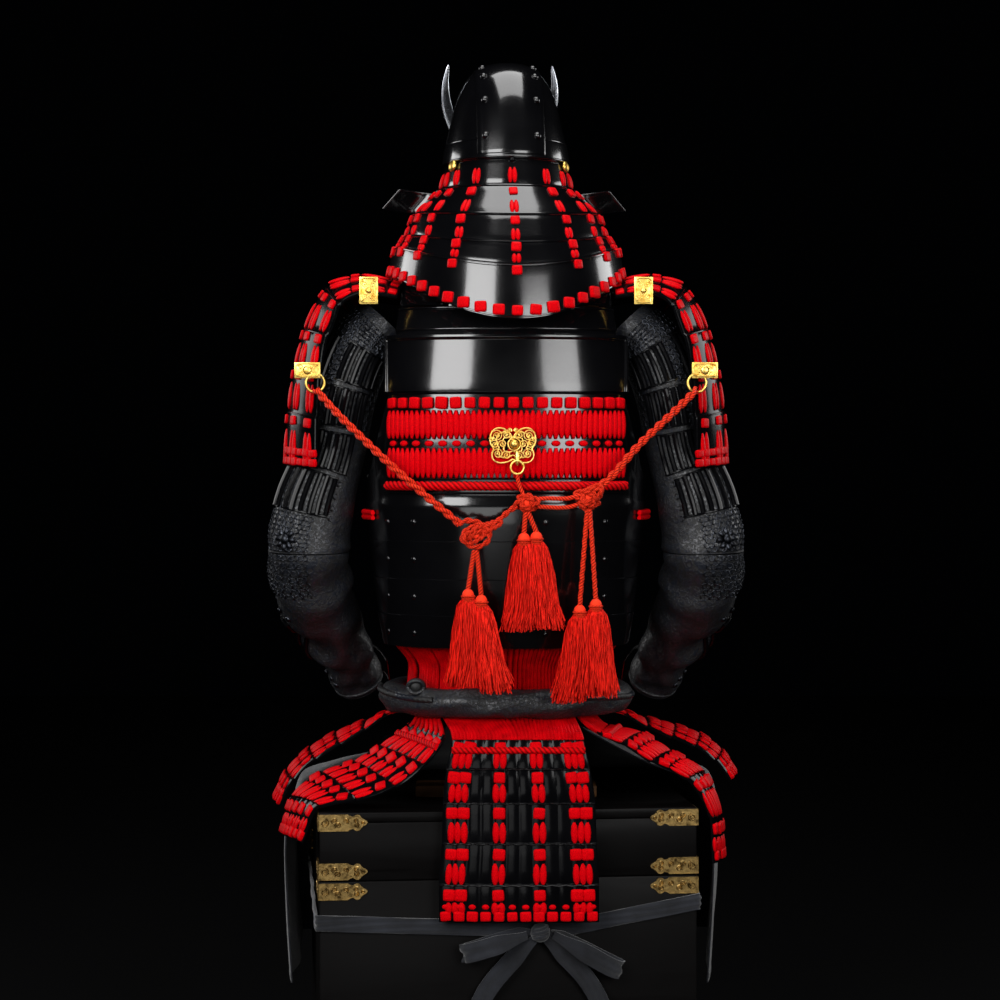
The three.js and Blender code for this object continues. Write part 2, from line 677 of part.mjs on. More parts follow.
// Point on a neck lame: t from its upper to its lower edge, at an angle from the nape
function neckPoint(lame, angle, t) {
  const turn = radians(angle);
  const sideShare = Math.pow(Math.sin(turn), 2);
  const top = mix(lame.top_back, lame.top_side, sideShare);
  const low = mix(lame.low_back, lame.low_side, sideShare);
  const x = mix(lame.top_a, lame.low_a, t) * Math.sin(turn);
  const y = -mix(lame.top_b, lame.low_b, t) * Math.cos(turn);
  return new THREE.Vector3(x, y, mix(top, low, t));
}

function buildNeckGuard(group) {
  NECK_LAMES.forEach((lame, k) => {
    const sweep = NECK_SWEEP[k];
    const middle = (lame.top_a + lame.low_a) / 2;
    const half = THREE.MathUtils.radToDeg(NECK_COLUMNS.half_width / middle) / (2 * sweep);
    const centres = Array.from({ length: NECK_COLUMNS.count }, (_, i) => {
      const angle = mix(-NECK_COLUMNS.spread, NECK_COLUMNS.spread, i / (NECK_COLUMNS.count - 1));
      return 0.5 + angle / (2 * sweep);
    });
    const between = centres.slice(1).map((c, i) => (c + centres[i]) / 2);
    const { us, relief } = lacingColumns(centres, half, NECK_COLUMNS.rise, [0, ...between, 1]);
    const base = (u, v) => neckPoint(lame, mix(-sweep, sweep, u), v);
    add("neck_lame_" + (k + 1), wall(base, us, [0, 1], CLOTH, { relief, side: -1 }), "lacquer", group);
  });
}

// Peak over the brow, and the turned-back ends of the neck guard beside it
function buildVisor(group) {
  const start = NECK_SWEEP[0] + 4;
  const base = (u, v) => {
    const turn = radians(mix(start, 360 - start, u));
    const reach = 1 + 0.3 * v * Math.pow(Math.abs(Math.cos(turn)), 0.7);
    const x = 87 * Math.sin(turn) * mix(1, reach, 0.5);
    const y = -106 * Math.cos(turn) * reach;
    return new THREE.Vector3(x, y, HELMET.base_z - SEAM_GAP - 24 * v);
  };
  add("helmet_visor", wall(base, range(12), range(2), CLOTH, { side: -1 }), "lacquer", group);
  const lame = NECK_LAMES[1];
  const flap = (u, v) => {
    const root = neckPoint(lame, NECK_SWEEP[1] + 0.3, mix(0.05, 0.8, v));
    const away = new THREE.Vector3(0.62 + 0.3 * u, 0.5 - 0.75 * u, 0.1);
    return root.addScaledVector(away.normalize(), TURN_BACK.wide * u).add(new THREE.Vector3(0.4, 0.4, 0));
  };
  const shell = wall(flap, range(3), range(2), CLOTH, { side: 1 });
  add("turn_back_right", shell, "lacquer", group);
  add("turn_back_left", mirrored(shell), "lacquer", group);
}

// Pair of upswept horns on a small plate at the brow
function buildCrest(group) {
  const y = BOWL[0].radius * HELMET.length_ratio + 6;
  const z = HELMET.base_z + 24;
  const horn = (s) => {
    const points = [
      [s * 10, y, z],
      [s * 46, y + 6, z + 18],
      [s * 74, y + 2, z + 62],
      [s * HORN.spread, y - 8, z + 104],
      [s * (HORN.spread - 4), y - 14, z + 138],
    ].map((p) => new THREE.Vector3(...p));
    const curve = new THREE.CatmullRomCurve3(points);
    const base = (u, v) => {
      const centre = curve.getPoint(clamp01(v));
      const along = curve.getTangent(clamp01(v));
      const out = new THREE.Vector3(0, 1, 0).cross(along).normalize();
      const width = HORN.root * Math.pow(1 - clamp01(v), 0.6) + 0.8;
      const turn = 2 * Math.PI * u;
      return centre.addScaledVector(out, width * Math.cos(turn)).add(new THREE.Vector3(0, 3 * Math.sin(turn), 0));
    };
    return spindle(base, 6, 7);
  };
  const plate = box(34, 6, 40, 0, y, z);
  add("helmet_crest", join(plate, horn(1), horn(-1)), "horn", group);
}

// Closed bar whose rings are base(u, v), with flat ends
function spindle(base, sides, steps) {
  const positions = [];
  for (let j = 0; j <= steps; j++) {
    for (let i = 0; i < sides; i++) positions.push(...base(i / sides, j / steps).toArray());
  }
  const first = positions.length / 3;
  const centreOf = (j) => {
    const sum = new THREE.Vector3();
    for (let i = 0; i < sides; i++) sum.add(base(i / sides, j));
    return sum.divideScalar(sides);
  };
  positions.push(...centreOf(0).toArray(), ...centreOf(1).toArray());
  const index = [];
  for (let j = 0; j < steps; j++) {
    for (let i = 0; i < sides; i++) {
      const [a, b] = [i + j * sides, ((i + 1) % sides) + j * sides];
      index.push(a, b, b + sides, a, b + sides, a + sides);
    }
  }
  for (let i = 0; i < sides; i++) {
    const next = (i + 1) % sides;
    index.push(first, next, i, first + 1, i + steps * sides, next + steps * sides);
  }
  const geometry = new THREE.BufferGeometry();
  geometry.setAttribute("position", new THREE.Float32BufferAttribute(positions, 3));
  geometry.setIndex(index);
  if (solidOf(geometry).volume() > 0) return geometry;
  for (let i = 0; i < index.length; i += 3) [index[i + 1], index[i + 2]] = [index[i + 2], index[i + 1]];
  geometry.setIndex(index);
  return geometry;
}

// Half of the cuirass: four riveted hoops below, and a plate above them with armholes cut in its sides
function cuirassHalf(front) {
  const top = front ? CUIRASS.front_top : CUIRASS.back_top;
  const half = front ? CUIRASS.front_half : CUIRASS.back_half;
  const seamTop = HOOP_SEAMS[HOOP_SEAMS.length - 1];
  const rows = [CUIRASS.low, ...HOOP_SEAMS];
  const vs = rows.flatMap((z, i) => (i ? [z - 1, z + 1] : [z]));
  const upper = [0.35, 0.7, 1];
  const marks = [...vs, ...upper.map((t) => seamTop + 1 + 1000 * t)];
  const heightAt = (angle, v) => {
    if (v <= seamTop + 1) return v;
    const x = Math.abs(torsoPoint(angle, 1000).x);
    const side = atHeight(TORSO, "a", 1000);
    const rise = smooth((side - x) / (side - half));
    const crest = mix(CUIRASS.armhole, top, rise);
    return mix(seamTop + 1, crest, (v - seamTop - 1) / 1000);
  };
  const base = (u, v) => {
    const angle = mix(-90, 90, u);
    const p = torsoPoint(angle, heightAt(angle, v));
    p.y -= 0.25;
    return p;
  };
  const lift = (u, v) => {
    if (v > seamTop) return 0;
    const k = HOOP_SEAMS.findIndex((z) => v < z);
    const low = k ? HOOP_SEAMS[k - 1] : CUIRASS.low;
    return HOOP_STEP * ((v - low) / (HOOP_SEAMS[k] - low));
  };
  const us = front ? [0, 0.02, 0.1, 0.2, 0.34, 0.5] : [0, 0.02, 0.08, 0.15, 0.23, 0.32, 0.41, 0.5];
  const all = [...us, ...us.slice(0, -1).reverse().map((u) => 1 - u)];
  const shell = wall(base, all, marks, PLATE, { lift, side: 1 });
  return front ? shell.rotateZ(Math.PI) : shell;
}

function buildCuirass() {
  add("cuirass_back", cuirassHalf(false), "lacquer");
  add("cuirass_front", cuirassHalf(true), "lacquer");
  buildBackPlate();
  buildYoke();
  buildBands();
  buildSideLacing();
  buildStraps();
  buildCollar();
}

// Upper back plate with a raised rim round its ends and top
function buildBackPlate() {
  const lift = () => PLATE + 2;
  const base = (u, v) => {
    const z = mix(BACK_PLATE.low, BACK_PLATE.top, v);
    return torsoPoint(mix(-1, 1, u) * angleAt(CUIRASS.back_half, z), z);
  };
  const edge = BACK_PLATE.rim / (2 * CUIRASS.back_half);
  const tall = BACK_PLATE.rim / (BACK_PLATE.top - BACK_PLATE.low);
  const relief = (u, v) => (u < edge || u > 1 - edge || v > 1 - tall ? BACK_PLATE.rim_rise : 0);
  const us = [0, edge * 0.9, edge * 1.2, ...range(10).slice(1, -1), 1 - edge * 1.2, 1 - edge * 0.9, 1];
  const vs = [0, 0.45, 1 - tall * 1.15, 1 - tall * 0.9, 1];
  add("back_plate", wall(base, us, vs, PLATE, { lift, relief, side: 1 }), "lacquer");
}

// Plate behind the neck, which leans forward to the shoulder straps
function buildYoke() {
  const base = (u, v) => {
    const z = mix(CUIRASS.back_top + 2 * SEAM_GAP, YOKE_TOP, v);
    return torsoPoint(mix(-1, 1, u) * angleAt(mix(164, 152, v), z), z);
  };
  add("yoke", wall(base, range(10), range(3), PLATE, { side: 1 }), "lacquer");
}

// Ribbed red lacing on the upper back
function buildBands() {
  for (const band of BANDS) {
    const base = (u, v) => {
      const z = mix(band.low, band.top, v);
      return torsoPoint(mix(-1, 1, u) * angleAt(BAND_HALF, z), z);
    };
    const lift = () => band.lift;
    const relief = (u) => band.rise * Math.abs(Math.sin(Math.PI * band.ribs * u));
    const shell = wall(base, range(2 * band.ribs), [0, 1], 1.2, { lift, relief, side: 1 });
    add(band.name, shell, "lacing");
  }
}

function buildSideLacing() {
  const base = (u, v) => torsoPoint(mix(SIDE_LACING.from, SIDE_LACING.to, u), mix(SIDE_LACING.low, SIDE_LACING.top, v));
  const lift = () => 2.6 + SEAM_GAP;
  const relief = (u) => 3 * Math.abs(Math.sin(Math.PI * SIDE_LACING.ribs * u));
  const shell = wall(base, range(2 * SIDE_LACING.ribs), [0, 1], 1.2, { lift, relief, side: 1 });
  add("side_lacing_right", shell, "lacing");
  add("side_lacing_left", mirrored(shell), "lacing");
}

// Shoulder straps, arched from the yoke to the breast, following the cuirass outline at each end
function buildStraps() {
  const follow = (x, a) => Math.pow(1 - Math.pow(x / a, SECTION_POWER), 1 / SECTION_POWER);
  const base = (u, v) => {
    const x = mix(STRAP_INNER, STRAP_OUTER, u);
    const y = column(STRAP, "y", v) * follow(x, mix(168.5, 190, v));
    return new THREE.Vector3(x, y, column(STRAP, "z", v) - 3 * Math.pow(2 * u - 1, 2));
  };
  const strap = wall(base, range(3), range(11), STRAP_WALL, { side: 1 });
  add("strap_right", strap, "lacquer");
  add("strap_left", mirrored(strap), "lacquer");
}

// Low standing collar on the yoke, behind the neck
function buildCollar() {
  const low = YOKE_TOP + SEAM_GAP;
  const base = (u, v) => {
    const p = torsoPoint(mix(-1, 1, u) * angleAt(COLLAR.half_width, YOKE_TOP), YOKE_TOP);
    return new THREE.Vector3(p.x, p.y + 2 * v, mix(low, COLLAR.top, v));
  };
  add("collar", wall(base, range(8), [0, 1], PLATE, { side: 1 }), "lacquer");
}

// Stretch of the sleeve, hollow, with creases at the elbow and forearm. from and to run from 0 at the
// shoulder to 1 at the cuff.
function sleeveGeometry(from, to) {
  const centre = (v) => new THREE.Vector3(...["x", "y", "z"].map((key) => column(SLEEVE, key, v)));
  const base = (u, v) => {
    const along = centre(clamp01(v + 0.01)).sub(centre(clamp01(v - 0.01))).normalize();
    const across = new THREE.Vector3(0, 1, 0).cross(along).normalize();
    const deep = along.clone().cross(across).normalize();
    const turn = 2 * Math.PI * u;
    const crease = SLEEVE_FOLD * smooth((v - 0.45) / 0.2) * Math.sin(11 * v * Math.PI + 2.2 * Math.sin(turn));
    const r = column(SLEEVE, "r", v) + crease * 0.8;
    const d = column(SLEEVE, "d", v) + crease * 0.8;
    return centre(v).addScaledVector(across, r * Math.cos(turn)).addScaledVector(deep, d * Math.sin(turn));
  };
  const vs = range(6).map((t) => mix(from, to, t));
  return wall(base, range(10), vs, CLOTH, { ring: true, side: -1 });
}

// Plate over the back of the hand, looped to the cuff
function handGuardGeometry() {
  const end = SLEEVE[SLEEVE.length - 1];
  const base = (u, v) => {
    const turn = radians(mix(-75, 75, u));
    const r = mix(42, 34, v) + 4;
    const x = end.x - r * Math.sin(turn) * 0.9;
    const lift = r * Math.cos(turn) * 0.8;
    return new THREE.Vector3(x + 8 * v, end.y + 8 + 62 * v, end.z + lift + 20.6 - 34 * v);
  };
  return wall(base, range(6), range(2), CLOTH, { side: 1 });
}

function buildSleeves() {
  const upper = sleeveGeometry(0, ELBOW - ELBOW_SEAM);
  add("sleeve_upper_left", upper, "brocade");
  add("sleeve_upper_right", mirrored(upper), "brocade");
  const forearm = sleeveGeometry(ELBOW + ELBOW_SEAM, 1);
  add("sleeve_forearm_left", forearm, "brocade");
  add("sleeve_forearm_right", mirrored(forearm), "brocade");
  const guard = handGuardGeometry();
  add("hand_guard_left", guard, "lacquer");
  add("hand_guard_right", mirrored(guard), "lacquer");
}

// Point on the left shoulder guard, u from its rear edge to its front edge, v from the neck down
function guardPoint(u, v) {
  const bulge = 1 - Math.pow(2 * u - 1, 2);
  const x = mix(column(GUARD, "edge_x", v), column(GUARD, "mid_x", v), bulge);
  const z = mix(column(GUARD, "edge_z", v), column(GUARD, "mid_z", v), bulge);
  return new THREE.Vector3(x, mix(GUARD_REAR, GUARD_FRONT, u), z);
}

function buildShoulderGuards() {
  const centres = [0.12, 0.5, 0.88];
  const { us, relief } = lacingColumns(centres, 0.09, LACE_RISE, [0, 0.3, 0.7, 1]);
  const vs = lameRows(0, 1, GUARD_LAMES);
  const lift = (u, v) => lameLift(v, 0, 1, GUARD_LAMES, LAME_STEP);
  const shell = wall(guardPoint, us, vs, LAME_WALL, { lift, relief, side: 1 });
  add("shoulder_guard_left", shell, "lacquer");
  add("shoulder_guard_right", mirrored(shell), "lacquer");
  buildClasps();
}

// Gilt fittings on the guards' rear edges; the lower one carries the ring that the cord ties to
function buildClasps() {
  const clasp = box(26, 8, 38, -193, -81.1, 1222);
  add("clasp_upper_left", clasp, "gold");
  add("clasp_upper_right", mirrored(clasp), "gold");
  const ring = new THREE.TorusGeometry(13, 1.8, 5, 12).rotateX(Math.PI / 2).translate(-268, -83.5, 1092);
  const lower = join(box(36, 8, 22, -279, -81.3, 1110), ring);
  add("clasp_lower_left", lower, "gold");
  add("clasp_lower_right", mirrored(lower), "gold");
}

// Gilt butterfly with a knob, on the back lacing, and the ring below it
function buildButterfly() {
  const { x, y, z, half_width: w, half_tall: h, thick, ring_z: ringZ } = BUTTERFLY;
  const outline = new THREE.Shape();
  outline.moveTo(0, h * 0.45);
  outline.bezierCurveTo(w * 0.3, h * 1.3, w, h * 1.2, w, h * 0.45);
  outline.bezierCurveTo(w * 1.05, -h * 0.1, w * 0.7, -h * 0.2, w * 0.62, -h * 0.25);
  outline.bezierCurveTo(w * 0.75, -h * 0.9, w * 0.3, -h * 1.15, 0, -h * 0.8);
  outline.bezierCurveTo(-w * 0.3, -h * 1.15, -w * 0.75, -h * 0.9, -w * 0.62, -h * 0.25);
  outline.bezierCurveTo(-w * 0.7, -h * 0.2, -w * 1.05, -h * 0.1, -w, h * 0.45);
  outline.bezierCurveTo(-w, h * 1.2, -w * 0.3, h * 1.3, 0, h * 0.45);
  const plate = new THREE.ExtrudeGeometry(outline, { depth: thick, bevelEnabled: false, curveSegments: 4 })
    .rotateX(Math.PI / 2)
    .translate(x, y, z);
  const knob = ball([7, 6, 7], [x + 2, y - 2, z + 2], 8, 6);
  const stem = box(5, 3, 16, x + 6, y - 3.5, z - 19);
  const ring = new THREE.TorusGeometry(9, 1.8, 5, 12).rotateX(Math.PI / 2).translate(x + 6, y - 5, ringZ);
  add("butterfly_fitting", join(plate, knob, stem, ring), "gold");
}

// Point of the belt's centre line, moved out along the outline's normal
function beltPoint(angle, outwards, z) {
  const at = (t) => {
    const turn = radians(t);
    const x = BELT.a * signedPower(Math.sin(turn), 0.86);
    const y = -BELT.b * signedPower(Math.cos(turn), 0.86);
    return new THREE.Vector2(x, y);
  };
  const along = at(angle + 0.5).sub(at(angle - 0.5));
  const normal = new THREE.Vector2(along.y, -along.x).normalize();
  const p = at(angle).addScaledVector(normal, outwards);
  return new THREE.Vector3(p.x, p.y, z);
}

// Rolled brocade belt round the waist
function buildBelt() {
  const base = (u, v) => {
    const turn = 2 * Math.PI * v;
    return beltPoint(360 * u + 1.7, BELT.radius * Math.cos(turn), BELT.z + BELT.radius * Math.sin(turn));
  };
  const sides = 6;
  const steps = 30;
  const positions = [];
  for (let j = 0; j < steps; j++) {
    for (let i = 0; i < sides; i++) positions.push(...base(j / steps, i / sides).toArray());
  }
  const index = [];
  for (let j = 0; j < steps; j++) {
    for (let i = 0; i < sides; i++) {
      const next = ((j + 1) % steps) * sides;
      const side = (i + 1) % sides;
      index.push(j * sides + i, next + i, next + side, j * sides + i, next + side, j * sides + side);
    }
  }
  const geometry = new THREE.BufferGeometry();
  geometry.setAttribute("position", new THREE.Float32BufferAttribute(positions, 3));
  geometry.setIndex(index);
  add("belt", geometry, "brocade");
}

// Skirt panel: a sheet of lacing from inside the cuirass, under the belt, then five laced lames
function skirtGeometry(panel) {
  const hips = 4;
  const lacing = (angle) => [
    torsoPoint(angle, LACE_TOP, -PLATE - 5),
    beltPoint(angle, -BELT.radius - 4, 690),
    beltPoint(angle, -BELT.radius - 1.4, BELT.z + 8),
    beltPoint(angle, -BELT.radius - 1.4, BELT.z - 12),
  ];
  const rowsOf = (u) => {
    const first = lacing(mix(panel.from, panel.to, panel.name.endsWith("left") ? 1 - u : u));
    const rest = panel.rows.map(
      (row) => new THREE.Vector3(mix(row.ax, row.bx, u), mix(row.ay, row.by, u), mix(row.az, row.bz, u)),
    );
    return [...first, ...rest].map((p) => ({ x: p.x, y: p.y, z: p.z }));
  };
  const count = hips + panel.rows.length;
  const start = hips / (count - 1);
  const base = (u, v) => {
    const rows = rowsOf(u);
    return new THREE.Vector3(column(rows, "x", v), column(rows, "y", v), column(rows, "z", v));
  };
  const lift = (u, v) => {
    const crown = panel.crown * smooth((v - start) / 0.2) * (1 - Math.pow(2 * u - 1, 2));
    return crown + lameLift(v, start, 1, SKIRT_LAMES, LAME_STEP);
  };
  const columns = lacingColumns(panel.laces, 0.075, LACE_RISE, panel.laces.length ? [0, 1] : [0, 0.3, 0.7, 1]);
  const relief = (u, v) => (panel.laces.length && v > start + 0.003 ? columns.relief(u) : 0);
  const vs = [0, 0.15, 0.26, 0.35, ...lameRows(start, 1, SKIRT_LAMES)];
  return wall(base, columns.us, vs, LAME_WALL, { lift, relief, side: panelSide(panel) });
}

// Which way a panel's edges run decides which face is its outer one
function panelSide(panel) {
  return panel.name === "tasset_back" ? -1 : panel.name.endsWith("left") ? 1 : -1;
}

function buildSkirt() {
  for (const panel of SKIRT) add(panel.name, skirtGeometry(panel), "lacquer");
}

// Thigh apron of grey cloth, over the chest's front corner
function apron(forward) {
  const base = (u, v) => {
    const z = column(APRON, "z", v);
    const y = (key) => column(APRON, key, v) + forward * smooth((v - 0.15) / 0.2);
    const side = new THREE.Vector3(column(APRON, "side_x", v), column(APRON, "side_y", v), column(APRON, "side_z", v));
    const corner = new THREE.Vector3(column(APRON, "corner_x", v), y("corner_y"), z);
    const inner = new THREE.Vector3(column(APRON, "inner_x", v), y("inner_y"), z);
    const bend = 0.46;
    if (u < bend) return side.lerp(corner, u / bend);
    return corner.lerp(inner, (u - bend) / (1 - bend));
  };
  const lift = (u, v) => APRON_FOLD * smooth((v - 0.5) / 0.4) * Math.sin(2 * Math.PI * 4 * u) * 0.5 + 2;
  const us = [0, 0.12, 0.26, 0.4, 0.44, 0.48, 0.62, 0.8, 1];
  return wall(base, us, range(9), CLOTH, { lift, side: 1 });
}

function buildAprons() {
  add("thigh_apron_left", apron(4).translate(0, 0, -4), "cotton");
  add("thigh_apron_right", mirrored(apron(17)).translate(0, 0, -3.6), "cotton");
}

// Sash round the chest, a little clear of its brass, with a bow at the back
function buildSash() {
  const { tall, thick, gap, round } = SASH;
  const half = [CHEST.width / 2 + gap, CHEST.depth / 2 + gap];
  const turn = radians(CHEST.yaw);
  const corners = [
    { x: -1, y: -1, z: SASH.left_z },
    { x: 1, y: -1, z: SASH.right_z },
    { x: 1, y: 1, z: SASH.front_z },
    { x: -1, y: 1, z: SASH.front_z },
  ];
  const path = [];
  corners.forEach((corner, k) => {
    for (const share of [0, 0.5, 1]) {
      const angle = radians(mix(-180, -90, share) + 90 * k);
      const lx = corner.x * (half[0] - round) + round * Math.cos(angle);
      const ly = corner.y * (half[1] - round) + round * Math.sin(angle);
      path.push({ lx, ly, z: corner.z });
    }
    if (k === 0) path.push({ lx: BOW.x - CHEST.centre_x, ly: -half[1], z: SASH.knot_z });
  });
  const base = (u, v) => {
    const place = ((u % 1) + 1) % 1;
    const at = Math.min(path.length - 1, Math.floor(place * path.length));
    const f = place * path.length - at;
    const [p, q] = [path[at], path[(at + 1) % path.length]];
    const [x, y] = [mix(p.lx, q.lx, f), mix(p.ly, q.ly, f)];
    const z = mix(p.z, q.z, f) + tall * (0.5 - v);
    const wx = CHEST.centre_x + x * Math.cos(turn) - y * Math.sin(turn);
    return new THREE.Vector3(wx, CHEST.centre_y + x * Math.sin(turn) + y * Math.cos(turn), z);
  };
  const us = range(path.length);
  add("sash", wall(base, us, [0, 1], thick, { lift: () => thick, ring: true, side: -1, stepUV: 1e-2 }), "cotton");
  const ribbons = [...BOW_LOOPS.map((points) => ribbon(points, 11)), ...BOW_TAILS.map((points) => ribbon(points, 6))];
  const knot = ball([BOW.knot, BOW.knot * 0.85, BOW.knot], [BOW.x, BOW.y, BOW.z], 8, 6);
  add("sash_bow", join(knot, ...ribbons), "cotton");
}

// Strip of cloth on edge along points measured from the bow's knot
function ribbon(points, steps) {
  const slant = Math.tan(radians(CHEST.yaw));
  const curve = new THREE.CatmullRomCurve3(points.map(([x, y, z]) => new THREE.Vector3(BOW.x + x, BOW.y + y + slant * x, BOW.z + z)));
  const base = (u, v) => {
    const p = curve.getPoint(clamp01(v));
    const slope = curve.getTangent(clamp01(v));
    const across = new THREE.Vector3(-slope.z, 0, slope.x).normalize();
    const steep = Math.abs(slope.x) > 0.25 || Math.abs(slope.z) > 0.25 ? across : new THREE.Vector3(0, 0, 1);
    if (steep.z < 0) steep.negate();
    const half = (BOW.width / 2) * (0.45 + 0.55 * smooth(v * 4) * smooth((1 - v) * 8 + 0.3));
    return p.addScaledVector(steep, (0.5 - u) * 2 * half);
  };
  const shell = wall(base, [0, 1], range(steps), BOW.wall, { lift: () => BOW.wall / 2 });
  return solidOf(shell).volume() > 0 ? shell : wall(base, [0, 1], range(steps), BOW.wall, { lift: () => BOW.wall / 2, side: -1 });
}

// Cords from the guards' rings to the knots at the back, and the hanger from the butterfly
function buildCords() {
  const knot = (name) => ball(KNOTS[name].radii, KNOTS[name].at, 8, 6);
  const left = join(bar(CORD_LEFT, CORD_RADIUS, 8, 8), bar(LOOP_LEFT, LOOP_RADIUS, 5, 18), knot("left"));
  add("cord_left", left, "cord");
  const links = LINK_RIGHT.map((points) => bar(points, THIN_CORD_RADIUS, 5, 5));
  add("cord_right", join(bar(CORD_RIGHT, CORD_RADIUS, 8, 8), ...links, knot("right")), "cord");
  add("cord_centre", join(bar(HANGER, HANGER_RADIUS, 6, 4), knot("centre")), "cord");
  for (const pair of ["left", "centre", "right"]) {
    const bodies = TASSELS.filter((row) => row.pair === pair).map((row, i) => tassel(row, i));
    add("tassel_pair_" + pair, joined(bodies, 0.5), "cord");
  }
}

// Tassel on its tail of cord: a wrapped head over a skirt of strands
function tassel(row, side) {
  const { at, tail_z: tailZ } = KNOTS[row.pair];
  const start = [at[0] + (side ? 1.8 : -1.8), at[1], tailZ];
  const tail = bar([start, [mix(start[0], row.x, 0.5), row.y, mix(start[2], row.z, 0.5)], [row.x, row.y, row.z]], THIN_CORD_RADIUS, 5, 3);
  const head = ball([TASSEL.head, TASSEL.head * 0.9, TASSEL.head], [row.x, row.y, row.z - TASSEL.head * 0.8], 8, 5);
  const strands = [];
  for (let k = 0; k < TASSEL.strands; k++) {
    const turn = (2 * Math.PI * (k + 0.3 * side)) / TASSEL.strands;
    const far = k % 2 ? 1 : 0.55;
    const tip = new THREE.Vector3(
      row.x + row.lean + TASSEL.spread_x * far * Math.cos(turn),
      row.y + TASSEL.spread_y * far * Math.sin(turn),
      row.z - TASSEL.length - 14 + 3 * (k % 3),
    );
    const root = new THREE.Vector3(row.x + 4 * Math.cos(turn), row.y + 4 * Math.sin(turn), row.z - 9);
    strands.push(strand(root, tip));
  }
  return joined([head, tail, ...strands], 0.5);
}

// Three-sided strand, thicker at its tip, bowed a little outwards
function strand(root, tip) {
  const base = (u, v) => {
    const centre = root.clone().lerp(tip, v);
    const r = mix(1.6, TASSEL.strand, v);
    return centre.add(new THREE.Vector3(r * Math.cos(2 * Math.PI * u), r * Math.sin(2 * Math.PI * u), 0));
  };
  return spindle(base, 3, 1);
}

buildChest();
buildStand();
buildHelmet();
buildCuirass();
buildSleeves();
buildShoulderGuards();
buildBelt();
buildSkirt();
buildAprons();
buildButterfly();
buildCords();
buildSash();

// The origin goes to the middle of the underside of everything but the cords
part.updateMatrixWorld(true);
const bounds = new THREE.Box3();
part.traverse((node) => {
  if (node.isMesh && !node.name.startsWith("cord_")) bounds.expandByObject(node, true);
});
const middle = bounds.getCenter(new THREE.Vector3());
part.position.set(-middle.x, -middle.y, -bounds.min.z);

export default part;
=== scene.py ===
"""A samurai armour seated on its storage chest: the finished surfaces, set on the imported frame."""

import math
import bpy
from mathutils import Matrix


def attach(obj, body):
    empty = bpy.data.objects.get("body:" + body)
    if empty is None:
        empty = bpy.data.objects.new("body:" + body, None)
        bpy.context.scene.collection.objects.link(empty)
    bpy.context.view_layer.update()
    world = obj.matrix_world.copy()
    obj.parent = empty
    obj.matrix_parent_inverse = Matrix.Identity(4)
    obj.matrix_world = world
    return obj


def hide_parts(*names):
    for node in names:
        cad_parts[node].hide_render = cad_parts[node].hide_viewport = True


bl_info = {
    "name": "Seated armour",
    "version": (1, 0, 0),
    "blender": (4, 5, 0),
    "location": "3D View > Sidebar > Armour",
    "description": "Builds a laced and lacquered armour on its chest, around a loaded frame",
    "category": "Object",
}

import bpy
import numpy as np
from mathutils import Matrix, Vector

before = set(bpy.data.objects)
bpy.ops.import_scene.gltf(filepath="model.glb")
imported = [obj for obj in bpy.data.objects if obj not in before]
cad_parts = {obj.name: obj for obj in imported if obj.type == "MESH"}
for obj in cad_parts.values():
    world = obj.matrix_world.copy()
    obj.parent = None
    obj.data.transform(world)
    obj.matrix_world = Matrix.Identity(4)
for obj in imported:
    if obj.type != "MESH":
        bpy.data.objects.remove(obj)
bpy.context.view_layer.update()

# Tables are in millimetres, with Y from the cuirass's middle. The frame's origin is below the middle of the
# whole, and this moves a table's point there.
SHIFT = np.array([0.574, -77.287, 0.0])
# Outward direction of flat wire work, tipped a little so that no part of a ring runs along it
ALONG_Y = (0, 1, 0.01)
ROOT = "root"


def table(names, *rows):
    """Columns of a short table, by name."""
    return dict(zip(names.split(), np.array(rows, float).T))


CHEST = dict(width=525, depth=420, height=500, lid=94, x=-17, y=75, yaw=6)
HELMET = dict(y=20, base=1410, ratio=1.22, yaw=4.5)
BOWL = table(
    "height radius",
    (0, 91), (32, 85.6), (66, 78), (94, 70.5), (118, 59), (132, 46.5), (140, 30), (143.5, 0.4),
)
NECK = table(
    "top_a top_b low_a low_b top_back top_side low_back low_side sweep",
    (88, 107.5, 96, 116, 1409, 1409, 1369.8, 1371.8, 104),
    (99.5, 119.5, 133, 150, 1370, 1372, 1324.8, 1336.8, 106),
    (136.5, 153.5, 147, 170, 1325, 1337, 1284.8, 1303.8, 108),
    (150.5, 173.5, 160, 183, 1285, 1304, 1252.8, 1287.8, 110),
    (163.5, 186.5, 171, 197, 1253, 1288, 1178, 1250, 112),
)
TORSO = table(
    "z a b",
    (715, 175, 127), (797, 187, 140), (905, 199, 152), (1000, 198, 155), (1083, 190, 152),
    (1157, 178, 141), (1200, 168, 120),
)
SECTION_POWER = 2.5
HOOPS = [722, 768, 818.6, 871.6, 925]
CUIRASS = dict(armhole=962, back_top=1083, front_top=1100, back_half=165, front_half=128)
STRAP = table(
    "y z",
    (-118, 1203.3), (-75, 1222), (0, 1236), (60, 1218), (122, 1160), (157, 1104), (161, 1072),
)
SLEEVE = table(
    "x y z r d",
    (-172, 0, 1182, 40, 42), (-208, -2, 1142, 47, 50), (-232, -4, 1078, 47, 54), (-247.5, -1.8, 1000, 46.5, 48),
    (-274, -8, 915, 55, 54), (-284, -8, 852, 58, 60), (-280, 14, 798, 54, 54), (-262, 60, 756, 47, 48),
    (-247, 104, 716, 43, 44), (-233, 140, 680, 38, 38), (-221, 168, 648, 34, 33),
)
